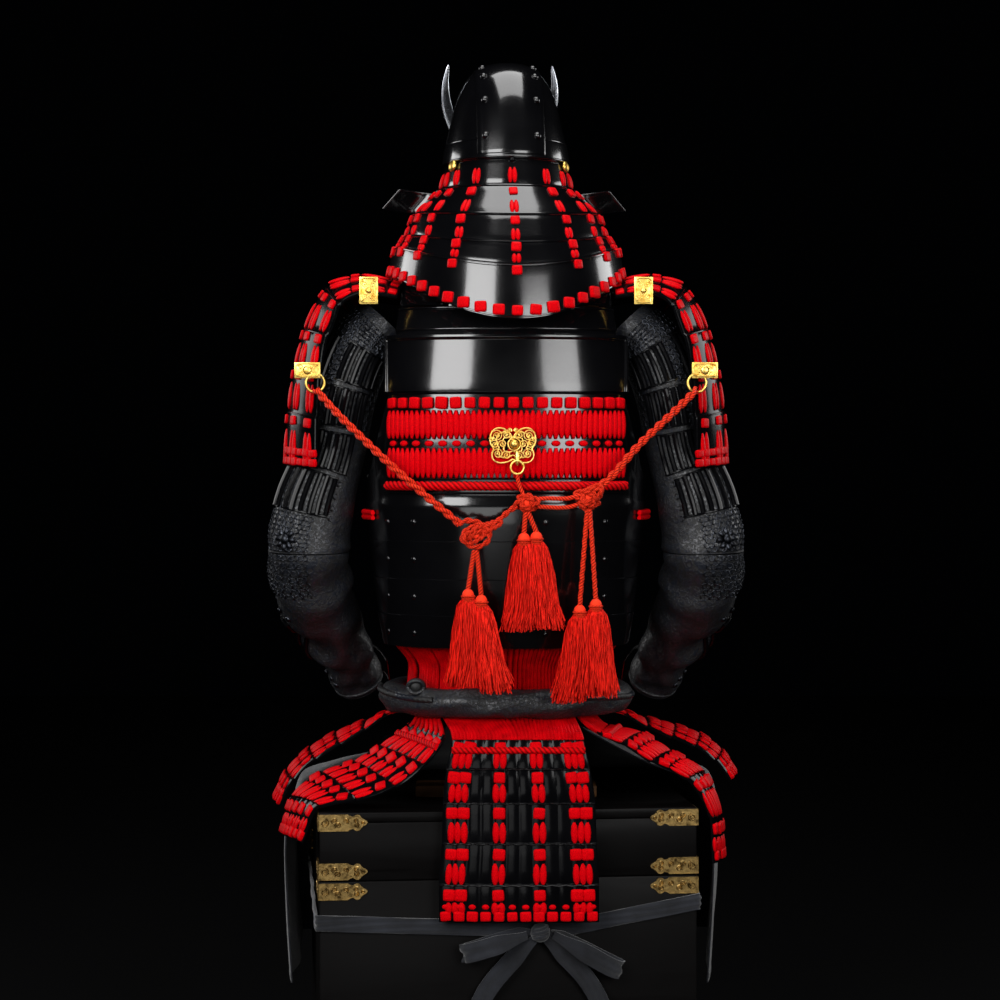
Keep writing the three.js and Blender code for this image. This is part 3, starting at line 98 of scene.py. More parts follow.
GUARD = table(
    "edge_x edge_z mid_x mid_z",
    (-153, 1213, -146, 1236.6), (-196, 1218, -200, 1249), (-228, 1209, -243, 1243), (-243, 1180, -281, 1196),
    (-257, 1138, -297, 1149), (-263, 1092, -308, 1100), (-266, 1035, -315, 1045), (-268, 972, -320, 976),
)
GUARD_SPAN = (-76, 92)
BELT = dict(a=162, b=126, z=646, radius=20)
LACE_TOP = 734
ROWS = "ax ay az bx by bz"
FIVE_LACES = [0.1, 0.3, 0.5, 0.7, 0.9]
SKIRT = [
    dict(name="tasset_back", laces=[0.1, 0.37, 0.63, 0.9], span=(-36, 36), crown=5, side=-1, rows=table(
        ROWS, (-74, -150, 603, 106, -150, 603), (-82, -157, 561, 115, -157, 561), (-87, -160, 515, 122, -160, 515),
        (-88, -163, 460, 124, -163, 460), (-92, -166, 404, 127, -166, 404), (-92, -168, 352, 127, -168, 352))),
    dict(name="tasset_back_left", laces=FIVE_LACES, span=(-37.5, -58), crown=7, side=1, rows=table(
        ROWS, (-86, -146, 606, -136, -70, 612), (-112, -152, 566, -180, -52, 580),
        (-152, -152, 536, -218, -42, 556), (-205, -150, 517.4, -262, -37, 540),
        (-256, -148, 508.4, -304, -36, 506), (-284, -146, 458, -322, -40, 452))),
    dict(name="tasset_back_right", laces=FIVE_LACES, span=(37.5, 58), crown=7, side=-1, rows=table(
        ROWS, (126, -128, 608, 140, -52, 610), (160, -120, 592, 192, -45, 596), (202, -112, 566, 236, -38, 568),
        (252, -106, 540, 280, -32, 540), (286, -100, 486, 304, -28, 482), (292, -98, 420, 310, -26, 416))),
    dict(name="tasset_left", laces=FIVE_LACES, span=(-66, -115), crown=7, side=1, rows=table(
        ROWS, (-168, -8, 622, -160, 72, 616), (-204, 4, 596, -204, 106, 596), (-240, 12, 574, -250, 124, 576),
        (-276, 18, 552, -290, 138, 552), (-308, 22, 522, -324, 150, 520), (-330, 26, 484, -346, 158, 478))),
    dict(name="tasset_right", laces=FIVE_LACES, span=(66, 115), crown=7, side=-1, rows=table(
        ROWS, (168, -8, 622, 160, 72, 616), (204, 4, 600, 204, 106, 600), (240, 12, 584, 250, 124, 586),
        (274, 18, 570, 288, 138, 572), (304, 22, 550, 320, 150, 548), (328, 26, 522, 342, 158, 516))),
    dict(name="tasset_front_left", laces=FIVE_LACES, span=(-124, -176), crown=7, side=1, rows=table(
        ROWS, (-118, 112, 610, -14, 150, 606), (-146, 158, 586, -18, 192, 582), (-170, 206, 566, -22, 240, 560),
        (-188, 262, 552, -26, 290, 544), (-202, 316, 526, -30, 336, 516), (-210, 346, 470, -32, 358, 460))),
]
LAMES = 5
GUARD_LAMES = 6
APRON = table(
    "side_x side_y corner_x corner_y inner_x inner_y z side_z",
    (-120, 60, -110, 120, -8, 128, 588, 588), (-200, 30, -190, 200, -8, 220, 545, 548),
    (-268, 20, -262, 262, -8, 290, 520, 521), (-296, 22, -318, 300, -8, 312, 494, 490),
    (-300, 26, -332, 306, -10, 316, 440, 430), (-296, 32, -330, 304, -14, 318, 340, 330),
    (-292, 40, -322, 300, -20, 320, 250, 226),
)
SASH = dict(left=350, knot=334, right=369, front=368, tall=22, gap=2.2, round=4)
BOW = dict(x=47, y=-148, z=334, width=26)
BOW_LOOPS = [
    [(-18, 2, -4), (-62, -14, -14), (-100, -12, -24), (-106, 0, -26), (-92, 8, -24), (-50, 9, -12), (-12, 6, -4)],
    [(18, 2, -4), (60, -12, -26), (102, -10, -50), (112, 1, -54), (98, 8, -48), (52, 9, -24), (12, 6, -4)],
]
BOW_TAILS = [
    [(-6, 4, -8), (-40, 6, -40), (-76, 7, -84), (-92, 7, -126), (-96, 6, -158)],
    [(6, 4, -8), (34, 6, -34), (66, 7, -70), (88, 7, -112), (96, 6, -140)],
]
BUTTERFLY = dict(x=9, z=1004, half_width=31, half_tall=22, y=-166, ring_z=974)

# Twisted red cords: points from the ring on each guard to the knots at the back
CORDS = [
    dict(name="cord_to_left_ring", node="cord_left", radius=6, points=[
        (-267, -90.9, 1082.7), (-236, -118, 1050), (-166, -154, 984), (-106, -174, 932), (-64, -185, 898)]),
    dict(name="cord_left_loops", node="cord_left", radius=4.4, points=[
        (-64, -185, 898), (-50, -186, 902), (-26, -187, 892), (-24, -188, 876), (-42, -188, 866), (-60, -187, 878),
        (-50, -187, 892), (-20, -186, 896), (4, -184, 915), (14.3, -182.6, 921.6)]),
    dict(name="cord_to_right_ring", node="cord_right", radius=6, points=[
        (267, -90.9, 1082.7), (234, -116, 1052), (182, -146, 1004), (144, -166, 962), (122, -176, 944)]),
    dict(name="cord_link_upper", node="cord_right", radius=3.3, points=[
        (104, -178, 938), (84, -180, 932), (56, -181, 932), (42, -181, 931)]),
    dict(name="cord_link_lower", node="cord_right", radius=3.3, points=[
        (104, -178, 926), (84, -180, 920), (56, -181, 920), (42, -181, 921)]),
    dict(name="cord_hanger", node="cord_centre", radius=3, points=[
        (15, -175, 963.9), (17, -176, 952), (23, -179, 938), (28, -180, 930)]),
]
KNOTS = {
    "left": dict(at=(-42, -187, 882), radii=(11, 9, 10), tail=861.9, node="cord_left", loops=(
        (0.42, 2.3, 1.1, 0.9, 0), (0.62, 1.5, 0.1, -0.2, 1.6), (1.5, 0.85, -0.9, -0.3, 0.8))),
    "centre": dict(at=(28, -181, 926), radii=(14, 10, 12), tail=913.4, node="cord_centre", loops=(
        (0.25, 1.15, 0, 0, 0), (-0.7, 1.0, 0, 0, 1.6), (1.35, 0.9, 0, 0, 0.8))),
    "right": dict(at=(112, -177, 932), radii=(17, 11, 15), tail=916.5, node="cord_right", loops=(
        (0.9, 1.2, 0.2, 0.2, 0), (-0.45, 1.0, -0.1, 0, 1.6), (1.5, 0.95, 0, -0.1, 0.8), (0.3, 1.0, 0.1, 0.3, 2.4))),
}
TASSELS = [
    dict(pair="left", x=-52, y=-188, z=808, lean=-8), dict(pair="left", x=-34, y=-189, z=800, lean=20),
    dict(pair="centre", x=24, y=-183, z=884, lean=-8), dict(pair="centre", x=41, y=-182, z=886, lean=15),
    dict(pair="right", x=100, y=-182, z=786, lean=-16), dict(pair="right", x=122, y=-180, z=794, lean=8),
]


def linear(hex_colour):
    """Linear colour, with alpha, of an sRGB hex value."""
    parts = [((hex_colour >> shift) & 255) / 255 for shift in (16, 8, 0)]
    return tuple(c / 12.92 if c <= 0.04045 else ((c + 0.055) / 1.055) ** 2.4 for c in parts) + (1.0,)


def mix(a, b, t):
    return a + (b - a) * t


def smooth(t):
    t = np.clip(t, 0, 1)
    return t * t * (3 - 2 * t)


def signed_power(value, power):
    return np.sign(value) * np.abs(value) ** power


def stack(x, y, z):
    """Points from three arrays or numbers."""
    return np.stack(np.broadcast_arrays(*(np.asarray(a, float) for a in (x, y, z))), -1)


def unit(vectors):
    return vectors / np.maximum(np.linalg.norm(vectors, axis=-1, keepdims=True), 1e-9)


def column(values, t):
    """Curve through evenly spaced values, with no overshoot. t runs from 0 to 1."""
    rows = np.asarray(values, float)
    t = np.asarray(t, float)
    if rows.ndim == 1:
        rows = rows.reshape((-1,) + (1,) * t.ndim) * np.ones(t.shape)
    place = np.clip(t, 0, 1) * (len(rows) - 1)
    i = np.minimum(len(rows) - 2, np.floor(place).astype(int))
    f = place - i
    steps = np.diff(rows, axis=0)
    both = steps[:-1] * steps[1:]
    total = steps[:-1] + steps[1:]
    inner = np.where(both <= 0, 0, 2 * both / np.where(total == 0, 1, total))
    slopes = np.concatenate([steps[:1], inner, steps[-1:]])

    def pick(source, k):
        return np.take_along_axis(source, k[None], 0)[0]

    start, end = pick(rows, i), pick(rows, i + 1)
    leave, arrive = pick(slopes, i), pick(slopes, i + 1)
    low = (2 * f**3 - 3 * f**2 + 1) * start + (f**3 - 2 * f**2 + f) * leave
    return low + (3 * f**2 - 2 * f**3) * end + (f**3 - f**2) * arrive


def along_curve(points, count):
    """Evenly spaced points on a smooth curve through given points."""
    p = np.array(points, float)
    p = np.vstack([2 * p[0] - p[1], p, 2 * p[-1] - p[-2]])
    knots = np.concatenate([[0], np.cumsum(np.sqrt(np.linalg.norm(np.diff(p, axis=0), axis=1)))])
    dense = []
    for i in range(1, len(p) - 2):
        t = np.linspace(knots[i], knots[i + 1], 24, endpoint=False)[:, None]
        t0, t1, t2, t3 = knots[i - 1:i + 3]
        a1 = (t1 - t) / (t1 - t0) * p[i - 1] + (t - t0) / (t1 - t0) * p[i]
        a2 = (t2 - t) / (t2 - t1) * p[i] + (t - t1) / (t2 - t1) * p[i + 1]
        a3 = (t3 - t) / (t3 - t2) * p[i + 1] + (t - t2) / (t3 - t2) * p[i + 2]
        b1 = (t2 - t) / (t2 - t0) * a1 + (t - t0) / (t2 - t0) * a2
        b2 = (t3 - t) / (t3 - t1) * a2 + (t - t1) / (t3 - t1) * a3
        dense.append((t2 - t) / (t2 - t1) * b1 + (t - t1) / (t2 - t1) * b2)
    dense = np.vstack(dense + [p[-2:-1]])
    run = np.concatenate([[0], np.cumsum(np.linalg.norm(np.diff(dense, axis=0), axis=1))])
    marks = np.linspace(0, run[-1], count)
    return np.stack([np.interp(marks, run, dense[:, k]) for k in range(3)], -1)


def path_length(points):
    return float(np.linalg.norm(np.diff(points, axis=0), axis=1).sum())


def turns(count):
    """Evenly spaced angles, once round."""
    return np.linspace(0, 2 * math.pi, count, endpoint=False)


def level(height, u, v):
    """A height over a surface at each u, v: a number, or a function of them."""
    return (height(u, v) if callable(height) else height) + np.zeros(np.broadcast(u, v).shape)


class Form:
    """Points and pattern places in millimetres, and faces of three or four corners."""

    def __init__(self):
        self.points, self.faces, self.places, self.count = [], [], [], 0

    def add(self, points, faces, places=None):
        points = np.asarray(points, float).reshape(-1, 3)
        faces = np.asarray(faces, int)
        self.points.append(points)
        self.faces.append(np.where(faces < 0, -1, faces + self.count))
        self.places.append(np.zeros((len(faces), 4, 2)) if places is None else places)
        self.count += len(points)
        return self

    def mirrored(self):
        """The same form on the other side of X = 0."""
        other = Form()
        points = np.concatenate(self.points) * [-1, 1, 1]
        faces = np.concatenate(self.faces)
        three = faces[:, 3] < 0
        turned = faces[:, ::-1].copy()
        turned[three] = faces[three][:, [2, 1, 0, 3]]
        places = np.concatenate(self.places)
        turned_places = places[:, ::-1].copy()
        turned_places[three] = places[three][:, [2, 1, 0, 3]]
        return other.add(points, turned, turned_places)


def grid_faces(columns, rows, ring_u=False, ring_v=False, flip=False):
    """Faces of a grid of points stored row by row, and the unwrapped column and row of each corner."""
    i, j = np.meshgrid(np.arange(columns if ring_u else columns - 1), np.arange(rows if ring_v else rows - 1))
    i, j = i.ravel(), j.ravel()
    across = np.stack([i, i + 1, i + 1, i], -1)
    down = np.stack([j, j, j + 1, j + 1], -1)
    faces = across % columns + (down % rows) * columns
    if flip:
        return faces[:, ::-1], across[:, ::-1], down[:, ::-1]
    return faces, across, down


def run_of(points, axis, ring=False):
    """Mean running length along one axis of a grid of points."""
    steps = np.linalg.norm(np.diff(points, axis=axis), axis=-1)
    mean = steps.mean(axis=1 - axis)
    if ring:
        mean = np.append(mean, mean.mean())
    return np.concatenate([[0], np.cumsum(mean)])


def shell(form, surface, us, vs, thickness, lift=0.0, raised=0.0, side=1, ring=False, bead=0.0):
    """Closed wall over a surface. lift moves both faces out, raised the outer one, bead rounds its rim."""
    us, vs = np.asarray(us, float), np.asarray(vs, float)
    across, down = np.meshgrid(us[:-1] if ring else us, vs)
    step = 1e-3
    normal = np.cross(
        surface(across + step, down) - surface(across - step, down),
        surface(across, down + step) - surface(across, down - step),
    )
    normal = unit(normal) * side
    points = surface(across, down)
    middle, extra = level(lift, across, down), level(raised, across, down)
    sunk = np.zeros(across.shape)
    sunk[[0, -1], :] = bead
    if not ring:
        sunk[:, [0, -1]] = bead
    outer = points + normal * (middle + extra - sunk)[..., None]
    inner = points + normal * (middle - thickness + sunk)[..., None]
    rows, columns = across.shape
    spans = columns * rows
    run_u, run_v = run_of(points, 1, ring), run_of(points, 0)
    top, i, j = grid_faces(columns, rows, ring_u=ring, flip=side < 0)
    places = np.stack([run_u[i], run_v[j]], -1)
    parts, place_parts = [top, top[:, ::-1] + spans], [places, places[:, ::-1]]
    rims = []
    for j in (0, rows - 1):
        a = np.arange(columns if ring else columns - 1)
        first, second = j * columns + a, j * columns + (a + 1) % columns
        quad = np.stack([first, first + spans, second + spans, second], -1)
        rims.append((quad if j == 0 else quad[:, ::-1], run_u[np.stack([a, a, a + 1, a + 1], -1)], j))
    for quad, run, j in rims:
        parts.append(quad if side > 0 else quad[:, ::-1])
        place_parts.append(np.stack([run, np.full(run.shape, run_v[j])], -1))
    if not ring:
        b = np.arange(rows - 1)
        for i in (0, columns - 1):
            first, second = b * columns + i, (b + 1) * columns + i
            quad = np.stack([first, second, second + spans, first + spans], -1)
            if (i == 0) != (side > 0):
                quad = quad[:, ::-1]
            parts.append(quad)
            run = run_v[np.stack([b, b + 1, b + 1, b], -1)]
            place_parts.append(np.stack([np.full(run.shape, run_u[i]), run], -1))
    both = np.concatenate([outer.reshape(-1, 3), inner.reshape(-1, 3)])
    return form.add(both, np.concatenate(parts), np.concatenate(place_parts))


def tube(form, path, section, ring=False, up=(0, 0, 1)):
    """Closed bar along a path. section(turn, s) gives a corner's offsets sideways and out at length s."""
    path = np.asarray(path, float)
    sides = section.sides
    ahead = np.roll(path, -1, 0) - np.roll(path, 1, 0)
    if not ring:
        ahead[0], ahead[-1] = path[1] - path[0], path[-1] - path[-2]
    ahead = unit(ahead)
    out = np.asarray(up, float) * np.ones(path.shape)
    if np.asarray(up).ndim == 1:
        frame_out = [unit(out[0] - ahead[0] * (out[0] @ ahead[0]) + 1e-6)]
        for k in range(1, len(path)):
            carried = frame_out[-1] - ahead[k] * (frame_out[-1] @ ahead[k])
            frame_out.append(unit(carried))
        out = np.array(frame_out)
    else:
        out = unit(out - ahead * (out * ahead).sum(-1, keepdims=True))
    sideways = np.cross(out, ahead)
    run = np.concatenate([[0], np.cumsum(np.linalg.norm(np.diff(path, axis=0), axis=1))])
    turn = turns(sides)
    x, y = section(turn[None, :], run[:, None])
    points = path[:, None] + sideways[:, None] * x[..., None] + out[:, None] * y[..., None]
    faces, i, j = grid_faces(sides, len(path), ring_u=True, ring_v=ring, flip=True)
    around = run_of(points, 1, True)
    length = np.append(run, run[-1] + run[1])
    places = np.stack([around[i], length[j]], -1)
    if hasattr(section, "lay"):
        strands, pitch = section.lay
        places = np.stack([strands * i / sides, strands * length[j] / pitch], -1)
    points = points.reshape(-1, 3)
    if not ring:
        ends, place = [], []
        for row, order in ((0, [1, 2, 0, 3]), (len(path) - 1, [2, 1, 0, 3])):
            a = np.arange(sides)
            centre = np.full(sides, len(points))
            points = np.vstack([points, points[row * sides:(row + 1) * sides].mean(0)])
            fan = np.stack([row * sides + a, centre, row * sides + (a + 1) % sides, np.full(sides, -1)], -1)
            ends.append(fan[:, order])
            place.append(np.zeros((sides, 4, 2)))
        faces = np.concatenate([faces] + ends)
        places = np.concatenate([places] + place)
    return form.add(points, faces, places)


def round_section(radius, sides):
    """Section of a plain round bar."""

    def section(turn, s):
        return radius * np.cos(turn) * np.ones(s.shape), radius * np.sin(turn) * np.ones(s.shape)

    section.sides = sides
    return section


def twisted_section(radius, pitch, strands=3, depth=0.2, sides=24):
    """Section of a laid rope, whose strands go once round in one pitch."""

    def section(turn, s):
        wave = np.abs(np.cos(strands * (turn - 2 * math.pi * s / pitch) / 2))
        r = radius * (1 - depth + depth * wave)
        return r * np.cos(turn), r * np.sin(turn)

    section.sides, section.lay = sides, (strands, pitch)
    return section


def flat_section(width, rise):
    """Section of a flat braid that lies on a surface."""
    across = np.array([-0.5, -0.5, -0.3, 0, 0.3, 0.5, 0.5, 0.0])
    tall = np.array([-0.25, 0.45, 0.9, 1, 0.9, 0.45, -0.25, -0.25])

    def section(turn, s):
        return width * across[None, :] * np.ones(s.shape), rise * tall[None, :] * np.ones(s.shape)

    section.sides = len(across)
    return section


def ball(form, radii, centre, across=20, down=12):
    """Closed egg shape."""
    tilt = np.linspace(0, math.pi, down + 1)[1:-1, None]
    turn = turns(across)[None]
    ring = stack(np.sin(tilt) * np.cos(turn), np.sin(tilt) * np.sin(turn), np.cos(tilt) * np.ones(turn.shape))
    faces, _, _ = grid_faces(across, down - 1, ring_u=True, flip=True)
    points = np.vstack([ring.reshape(-1, 3), [(0, 0, 1), (0, 0, -1)]])
    a = np.arange(across)
    last = (down - 2) * across
    north, south = np.full(across, len(points) - 2), np.full(across, len(points) - 1)
    none = np.full(across, -1)
    fans = np.vstack([
        np.stack([north, a, (a + 1) % across, none], -1),
        np.stack([south, last + (a + 1) % across, last + a, none], -1),
    ])
    return form.add(points * np.asarray(radii, float) + np.asarray(centre, float), np.vstack([faces, fans]))


def block(form, size, centre, turn=None):
    """Box with its corners' edges left sharp, for a bevel to round."""
    half = np.asarray(size, float) / 2
    corners = np.array([(x, y, z) for z in (-1, 1) for y in (-1, 1) for x in (-1, 1)]) * half
    faces = [(0, 2, 3, 1), (4, 5, 7, 6), (0, 1, 5, 4), (2, 6, 7, 3), (0, 4, 6, 2), (1, 3, 7, 5)]
    points = corners + np.asarray(centre, float)
    return form.add(points if turn is None else turn(points), faces)


# Materials


def fill(tree, made, inputs):
    """Sets a node's inputs: each is a value, an output socket, or a node that stands for its first output."""
    for key, value in inputs.items():
        if isinstance(value, bpy.types.Node):
            value = value.outputs[0]
        if isinstance(value, bpy.types.NodeSocket):
            tree.links.new(value, made.inputs[key])
        else:
            made.inputs[key].default_value = value


def node(tree, kind, inputs=None, **settings):
    """Adds one node with its settings and its links."""
    made = tree.nodes.new(kind)
    for key, value in settings.items():
        setattr(made, key, value)
    fill(tree, made, inputs or {})
    return made


def material(name, inputs):
    """A material with its tree and its shader, whose constant inputs are set."""
    made = bpy.data.materials.new(name)
    made.use_nodes = True
    shader = made.node_tree.nodes["Principled BSDF"]
    fill(made.node_tree, shader, inputs)
    return made, made.node_tree, shader


def tone(tree, shader, pattern, start, end, first, second):
    """Colours the surface from first to second where the pattern rises from start to end."""
    share = node(tree, "ShaderNodeMapRange", {"Value": pattern, "From Min": start, "From Max": end})
    blend = node(tree, "ShaderNodeMix", {0: share, 6: linear(first), 7: linear(second)}, data_type="RGBA")
    fill(tree, shader, {"Base Color": blend.outputs[2]})


def roughen(tree, shader, pattern, first, second, start=0.35, end=0.65):
    """Takes the roughness from first to second where the pattern rises from start to end."""
    fill(tree, shader, {"Roughness": node(tree, "ShaderNodeMapRange", {
        "Value": pattern, "From Min": start, "From Max": end, "To Min": first, "To Max": second})})


def relief(tree, shader, *layers):
    """Raises the surface by patterns, one over the other: each with its height in metres and its strength."""
    before = {}
    for pattern, height, strength in layers:
        before = {"Normal": node(tree, "ShaderNodeBump", {
            "Height": pattern, "Distance": height, "Strength": strength, **before})}
    fill(tree, shader, before)


def lacquer(name, colour, roughness, coat, gloss=0.5):
    """Urushi lacquer, brushed and polished in coats: deep gloss with a faint orange-peel and handling haze."""
    made, tree, shader = material(name, {
        "Coat Weight": coat, "Coat Roughness": 0.09, "Specular IOR Level": gloss})
    place = node(tree, "ShaderNodeTexCoord").outputs["Object"]
    haze = node(tree, "ShaderNodeTexNoise", {"Vector": place, "Scale": 9, "Detail": 4, "Roughness": 0.55})
    peel = node(tree, "ShaderNodeTexNoise", {"Vector": place, "Scale": 240, "Detail": 2, "Roughness": 0.55})
    tone(tree, shader, haze, 0, 1, colour, 0x09090B)
    roughen(tree, shader, haze, roughness, roughness + 0.06)
    relief(tree, shader, (peel, 0.00012, 0.35))
    return made


def silk_braid(name, light, dark, pitch):
    """Silk braid, plaited flat: a herringbone of slanting threads about one pitch apart, with a soft sheen."""
    made, tree, shader = material(name, {
        "Roughness": 0.5, "Specular Tint": linear(0xFF3A28), "Specular IOR Level": 0.6})
    source = node(tree, "ShaderNodeTexCoord").outputs
    thread, along = node(tree, "ShaderNodeSeparateXYZ", {0: source["UV"]}).outputs[:2]
    for operation, value in (
        ("DIVIDE", 4 * pitch), ("FRACT", 0), ("SUBTRACT", 0.5), ("ABSOLUTE", 0), ("MULTIPLY", 4 * pitch),
        ("ADD", along), ("MULTIPLY", 2 * math.pi / pitch), ("SINE", 0),
    ):
        thread = node(tree, "ShaderNodeMath", {0: thread, 1: value}, operation=operation)
    place = source["Object"]
    fade = node(tree, "ShaderNodeTexNoise", {"Vector": place, "Scale": 60, "Detail": 4, "Roughness": 0.55})
    fibre = node(tree, "ShaderNodeTexNoise", {"Vector": place, "Scale": 1400, "Detail": 2, "Roughness": 0.55})
    # shade: the herringbone threads are painted lighter on their raised crowns and darker between them (painted
    # light and shade), over a random fade of the red
    shade = node(tree, "ShaderNodeMath", {0: thread, 1: 0.16, 2: fade}, operation="MULTIPLY_ADD")
    tone(tree, shader, shade, 0.25, 0.7, dark, light)
    relief(tree, shader, (thread, 0.0004, 0.6), (fibre, 0.0002, 0.4))
    return made


def laid_silk(name, light, dark):
    """Laid silk rope with fine threads: painted highlight on each strand's back, painted shade in its groove."""
    made, tree, shader = material(name, {
        "Roughness": 0.45, "Specular Tint": linear(0xFF4A30), "Specular IOR Level": 0.6})
    place = node(tree, "ShaderNodeTexCoord").outputs["UV"]
    around, along = node(tree, "ShaderNodeSeparateXYZ", {0: place}).outputs[:2]
    strand = thread = around
    # strand: a painted highlight on each strand's back, falling to painted shade in the groove between strands
    for operation, value in (("SUBTRACT", along), ("MULTIPLY", math.pi), ("COSINE", 0), ("ABSOLUTE", 0)):
        strand = node(tree, "ShaderNodeMath", {0: strand, 1: value}, operation=operation)
    # thread: fine threads, painted lighter on the crowns that the relief raises, which is more painted light
    for operation, value in (("MULTIPLY", 3), ("ADD", along), ("MULTIPLY", 4 * math.pi), ("SINE", 0)):
        thread = node(tree, "ShaderNodeMath", {0: thread, 1: value}, operation=operation)
    shade = node(tree, "ShaderNodeMath", {0: thread, 1: 0.14, 2: strand}, operation="MULTIPLY_ADD")
    tone(tree, shader, shade, 0.15, 0.95, dark, light)
    relief(tree, shader, (thread, 0.0003, 0.5))
    return made


def silk_strands(name, light, dark):
    """Loose silk strands, hanging: fine streaks of strand tone down their length, the bright ones partly painted
    highlight.
    """
    made, tree, shader = material(name, {
        "Roughness": 0.42, "Specular Tint": linear(0xFF5A3C), "Specular IOR Level": 0.8})
    place = node(tree, "ShaderNodeTexCoord").outputs["Object"]
    drawn = node(tree, "ShaderNodeMapping", {"Vector": place, "Scale": (1, 1, 0.07)})
    streak = node(tree, "ShaderNodeTexNoise", {"Vector": drawn, "Scale": 620, "Detail": 3, "Roughness": 0.6})
    # The light colour on the raised streaks is partly strand tone and partly a painted highlight
    tone(tree, shader, streak, 0.36, 0.64, dark, light)
    relief(tree, shader, (streak, 0.0005, 0.4))
    return made


def silk_knot(name, light, dark):
    """Silk braid crossed into a plump knot: soft fibres 0.8 mm apart, painted light on top, painted shade in the
    folds.
    """
    made, tree, shader = material(name, {
        "Roughness": 0.5, "Specular Tint": linear(0xFF3A28), "Specular IOR Level": 0.4})
    place = node(tree, "ShaderNodeTexCoord").outputs["Object"]
    drawn = node(tree, "ShaderNodeMapping", {"Vector": place, "Scale": (1, 1, 0.35)})
    fibre = node(tree, "ShaderNodeTexNoise", {"Vector": drawn, "Scale": 1250, "Detail": 3, "Roughness": 0.6})
    dent = node(tree, "ShaderNodeTexNoise", {"Vector": place, "Scale": 260, "Detail": 2, "Roughness": 0.55})
    # The fibre noise that raises the fibres also colours them: paler where raised and darker in the folds, as
    # painted light and shade
    tone(tree, shader, fibre, 0.3, 0.62, dark, light)
    relief(tree, shader, (fibre, 0.0005, 0.5), (dent, 0.0008, 0.3))
    return made


def gilt(name, colour, shadow, roughness):
    """Gilded or patinated copper alloy, chased by hand: soft gloss with darker metal left in the hollows."""
    made, tree, shader = material(name, {"Metallic": 1.0})
    place = node(tree, "ShaderNodeTexCoord").outputs["Object"]
    wear = node(tree, "ShaderNodeTexNoise", {"Vector": place, "Scale": 120, "Detail": 5, "Roughness": 0.6})
    scroll = node(tree, "ShaderNodeTexVoronoi", {"Vector": place, "Scale": 210}, feature="SMOOTH_F1")
    tone(tree, shader, wear, 0.3, 0.56, shadow, colour)
    roughen(tree, shader, wear, roughness + 0.16, roughness)
    relief(tree, shader, (scroll, 0.0005, 0.35))
    return made


def brocade(name, ground, figure):
    """Silk damask of one dye: a curling satin figure of about 9 mm with a painted sheen, on a matt ground, on fine
    ribs.
    """
    made, tree, shader = material(name, {"Specular IOR Level": 0.6})
    source = node(tree, "ShaderNodeTexCoord").outputs
    place = node(tree, "ShaderNodeMapping", {"Vector": source["UV"], "Scale": (0.05, 0.05, 1)})
    curl = node(tree, "ShaderNodeTexNoise", {
        "Vector": place, "Scale": 2.4, "Detail": 1.5, "Roughness": 0.5, "Distortion": 2.6})
    drawn = node(tree, "ShaderNodeMapRange", {"Value": curl, "From Min": 0.5, "From Max": 0.53})
    rib = node(tree, "ShaderNodeTexWave", {
        "Vector": source["UV"], "Scale": 0.3, "Distortion": 0.6}, bands_direction="DIAGONAL").outputs["Fac"]
    crumple = node(tree, "ShaderNodeTexNoise", {
        "Vector": source["Object"], "Scale": 34, "Detail": 4, "Roughness": 0.6})
    # The figure colour is lighter than the ground only as a painted sheen; its lower roughness gives the real one
    tone(tree, shader, drawn, 0, 1, ground, figure)
    roughen(tree, shader, drawn, 0.62, 0.3, 0, 1)
    relief(tree, shader, (rib, 0.0003, 0.4), (drawn, 0.0006, 0.6), (crumple, 0.006, 0.55))
    return made


def cotton(name, light, dark):
    """Plain-woven cotton, dyed and a little faded: matt, with threads drawn 1.6 mm apart so that they show."""
    made, tree, shader = material(name, {"Roughness": 0.92, "Sheen Weight": 0.3, "Specular IOR Level": 0.25})
    source = node(tree, "ShaderNodeTexCoord").outputs
    place = source["Object"]
    faded = node(tree, "ShaderNodeTexNoise", {"Vector": place, "Scale": 14, "Detail": 5, "Roughness": 0.6})
    crumple = node(tree, "ShaderNodeTexNoise", {"Vector": place, "Scale": 90, "Detail": 4, "Roughness": 0.55})
    warp, weft = (
        node(tree, "ShaderNodeTexWave", {
            "Vector": source["UV"], "Scale": 0.2, "Distortion": 0.8}, bands_direction=way).outputs["Fac"]
        for way in "XY")
    weave = node(tree, "ShaderNodeMath", {0: warp, 1: weft}, operation="MULTIPLY")
    tone(tree, shader, faded, 0.35, 0.65, dark, light)
    relief(tree, shader, (weave, 0.0004, 0.5), (crumple, 0.001, 0.35))
    return made


def wood(name, light, dark, roughness, coat):
    """Planed wood under thin lacquer: long grain that darkens the coat in streaks and shows in its gloss."""
    made, tree, shader = material(name, {
        "Coat Weight": coat, "Coat Roughness": 0.2, "Specular IOR Level": 0.07})
    place = node(tree, "ShaderNodeTexCoord").outputs["Object"]
    drawn = node(tree, "ShaderNodeMapping", {"Vector": place, "Scale": (3, 60, 60)})
    grain = node(tree, "ShaderNodeTexNoise", {
        "Vector": drawn, "Scale": 1.4, "Detail": 6, "Roughness": 0.6, "Distortion": 0.4})
    tone(tree, shader, grain, 0.35, 0.65, dark, light)
    roughen(tree, shader, grain, roughness, roughness + 0.15)
    relief(tree, shader, (grain, 0.0004, 0.4))
    return made


def steel(name, light, dark, roughness):
    """Forged metal, filed smooth: grey with a soft gloss and a faint darker bloom."""
    made, tree, shader = material(name, {"Metallic": 1.0})
    place = node(tree, "ShaderNodeTexCoord").outputs["Object"]
    bloom = node(tree, "ShaderNodeTexNoise", {"Vector": place, "Scale": 45, "Detail": 4, "Roughness": 0.55})
    filed = node(tree, "ShaderNodeTexNoise", {"Vector": place, "Scale": 500, "Detail": 2, "Roughness": 0.55})
    tone(tree, shader, bloom, 0.35, 0.65, dark, light)
    roughen(tree, shader, bloom, roughness + 0.12, roughness)
    relief(tree, shader, (filed, 0.0001, 0.3))
    return made


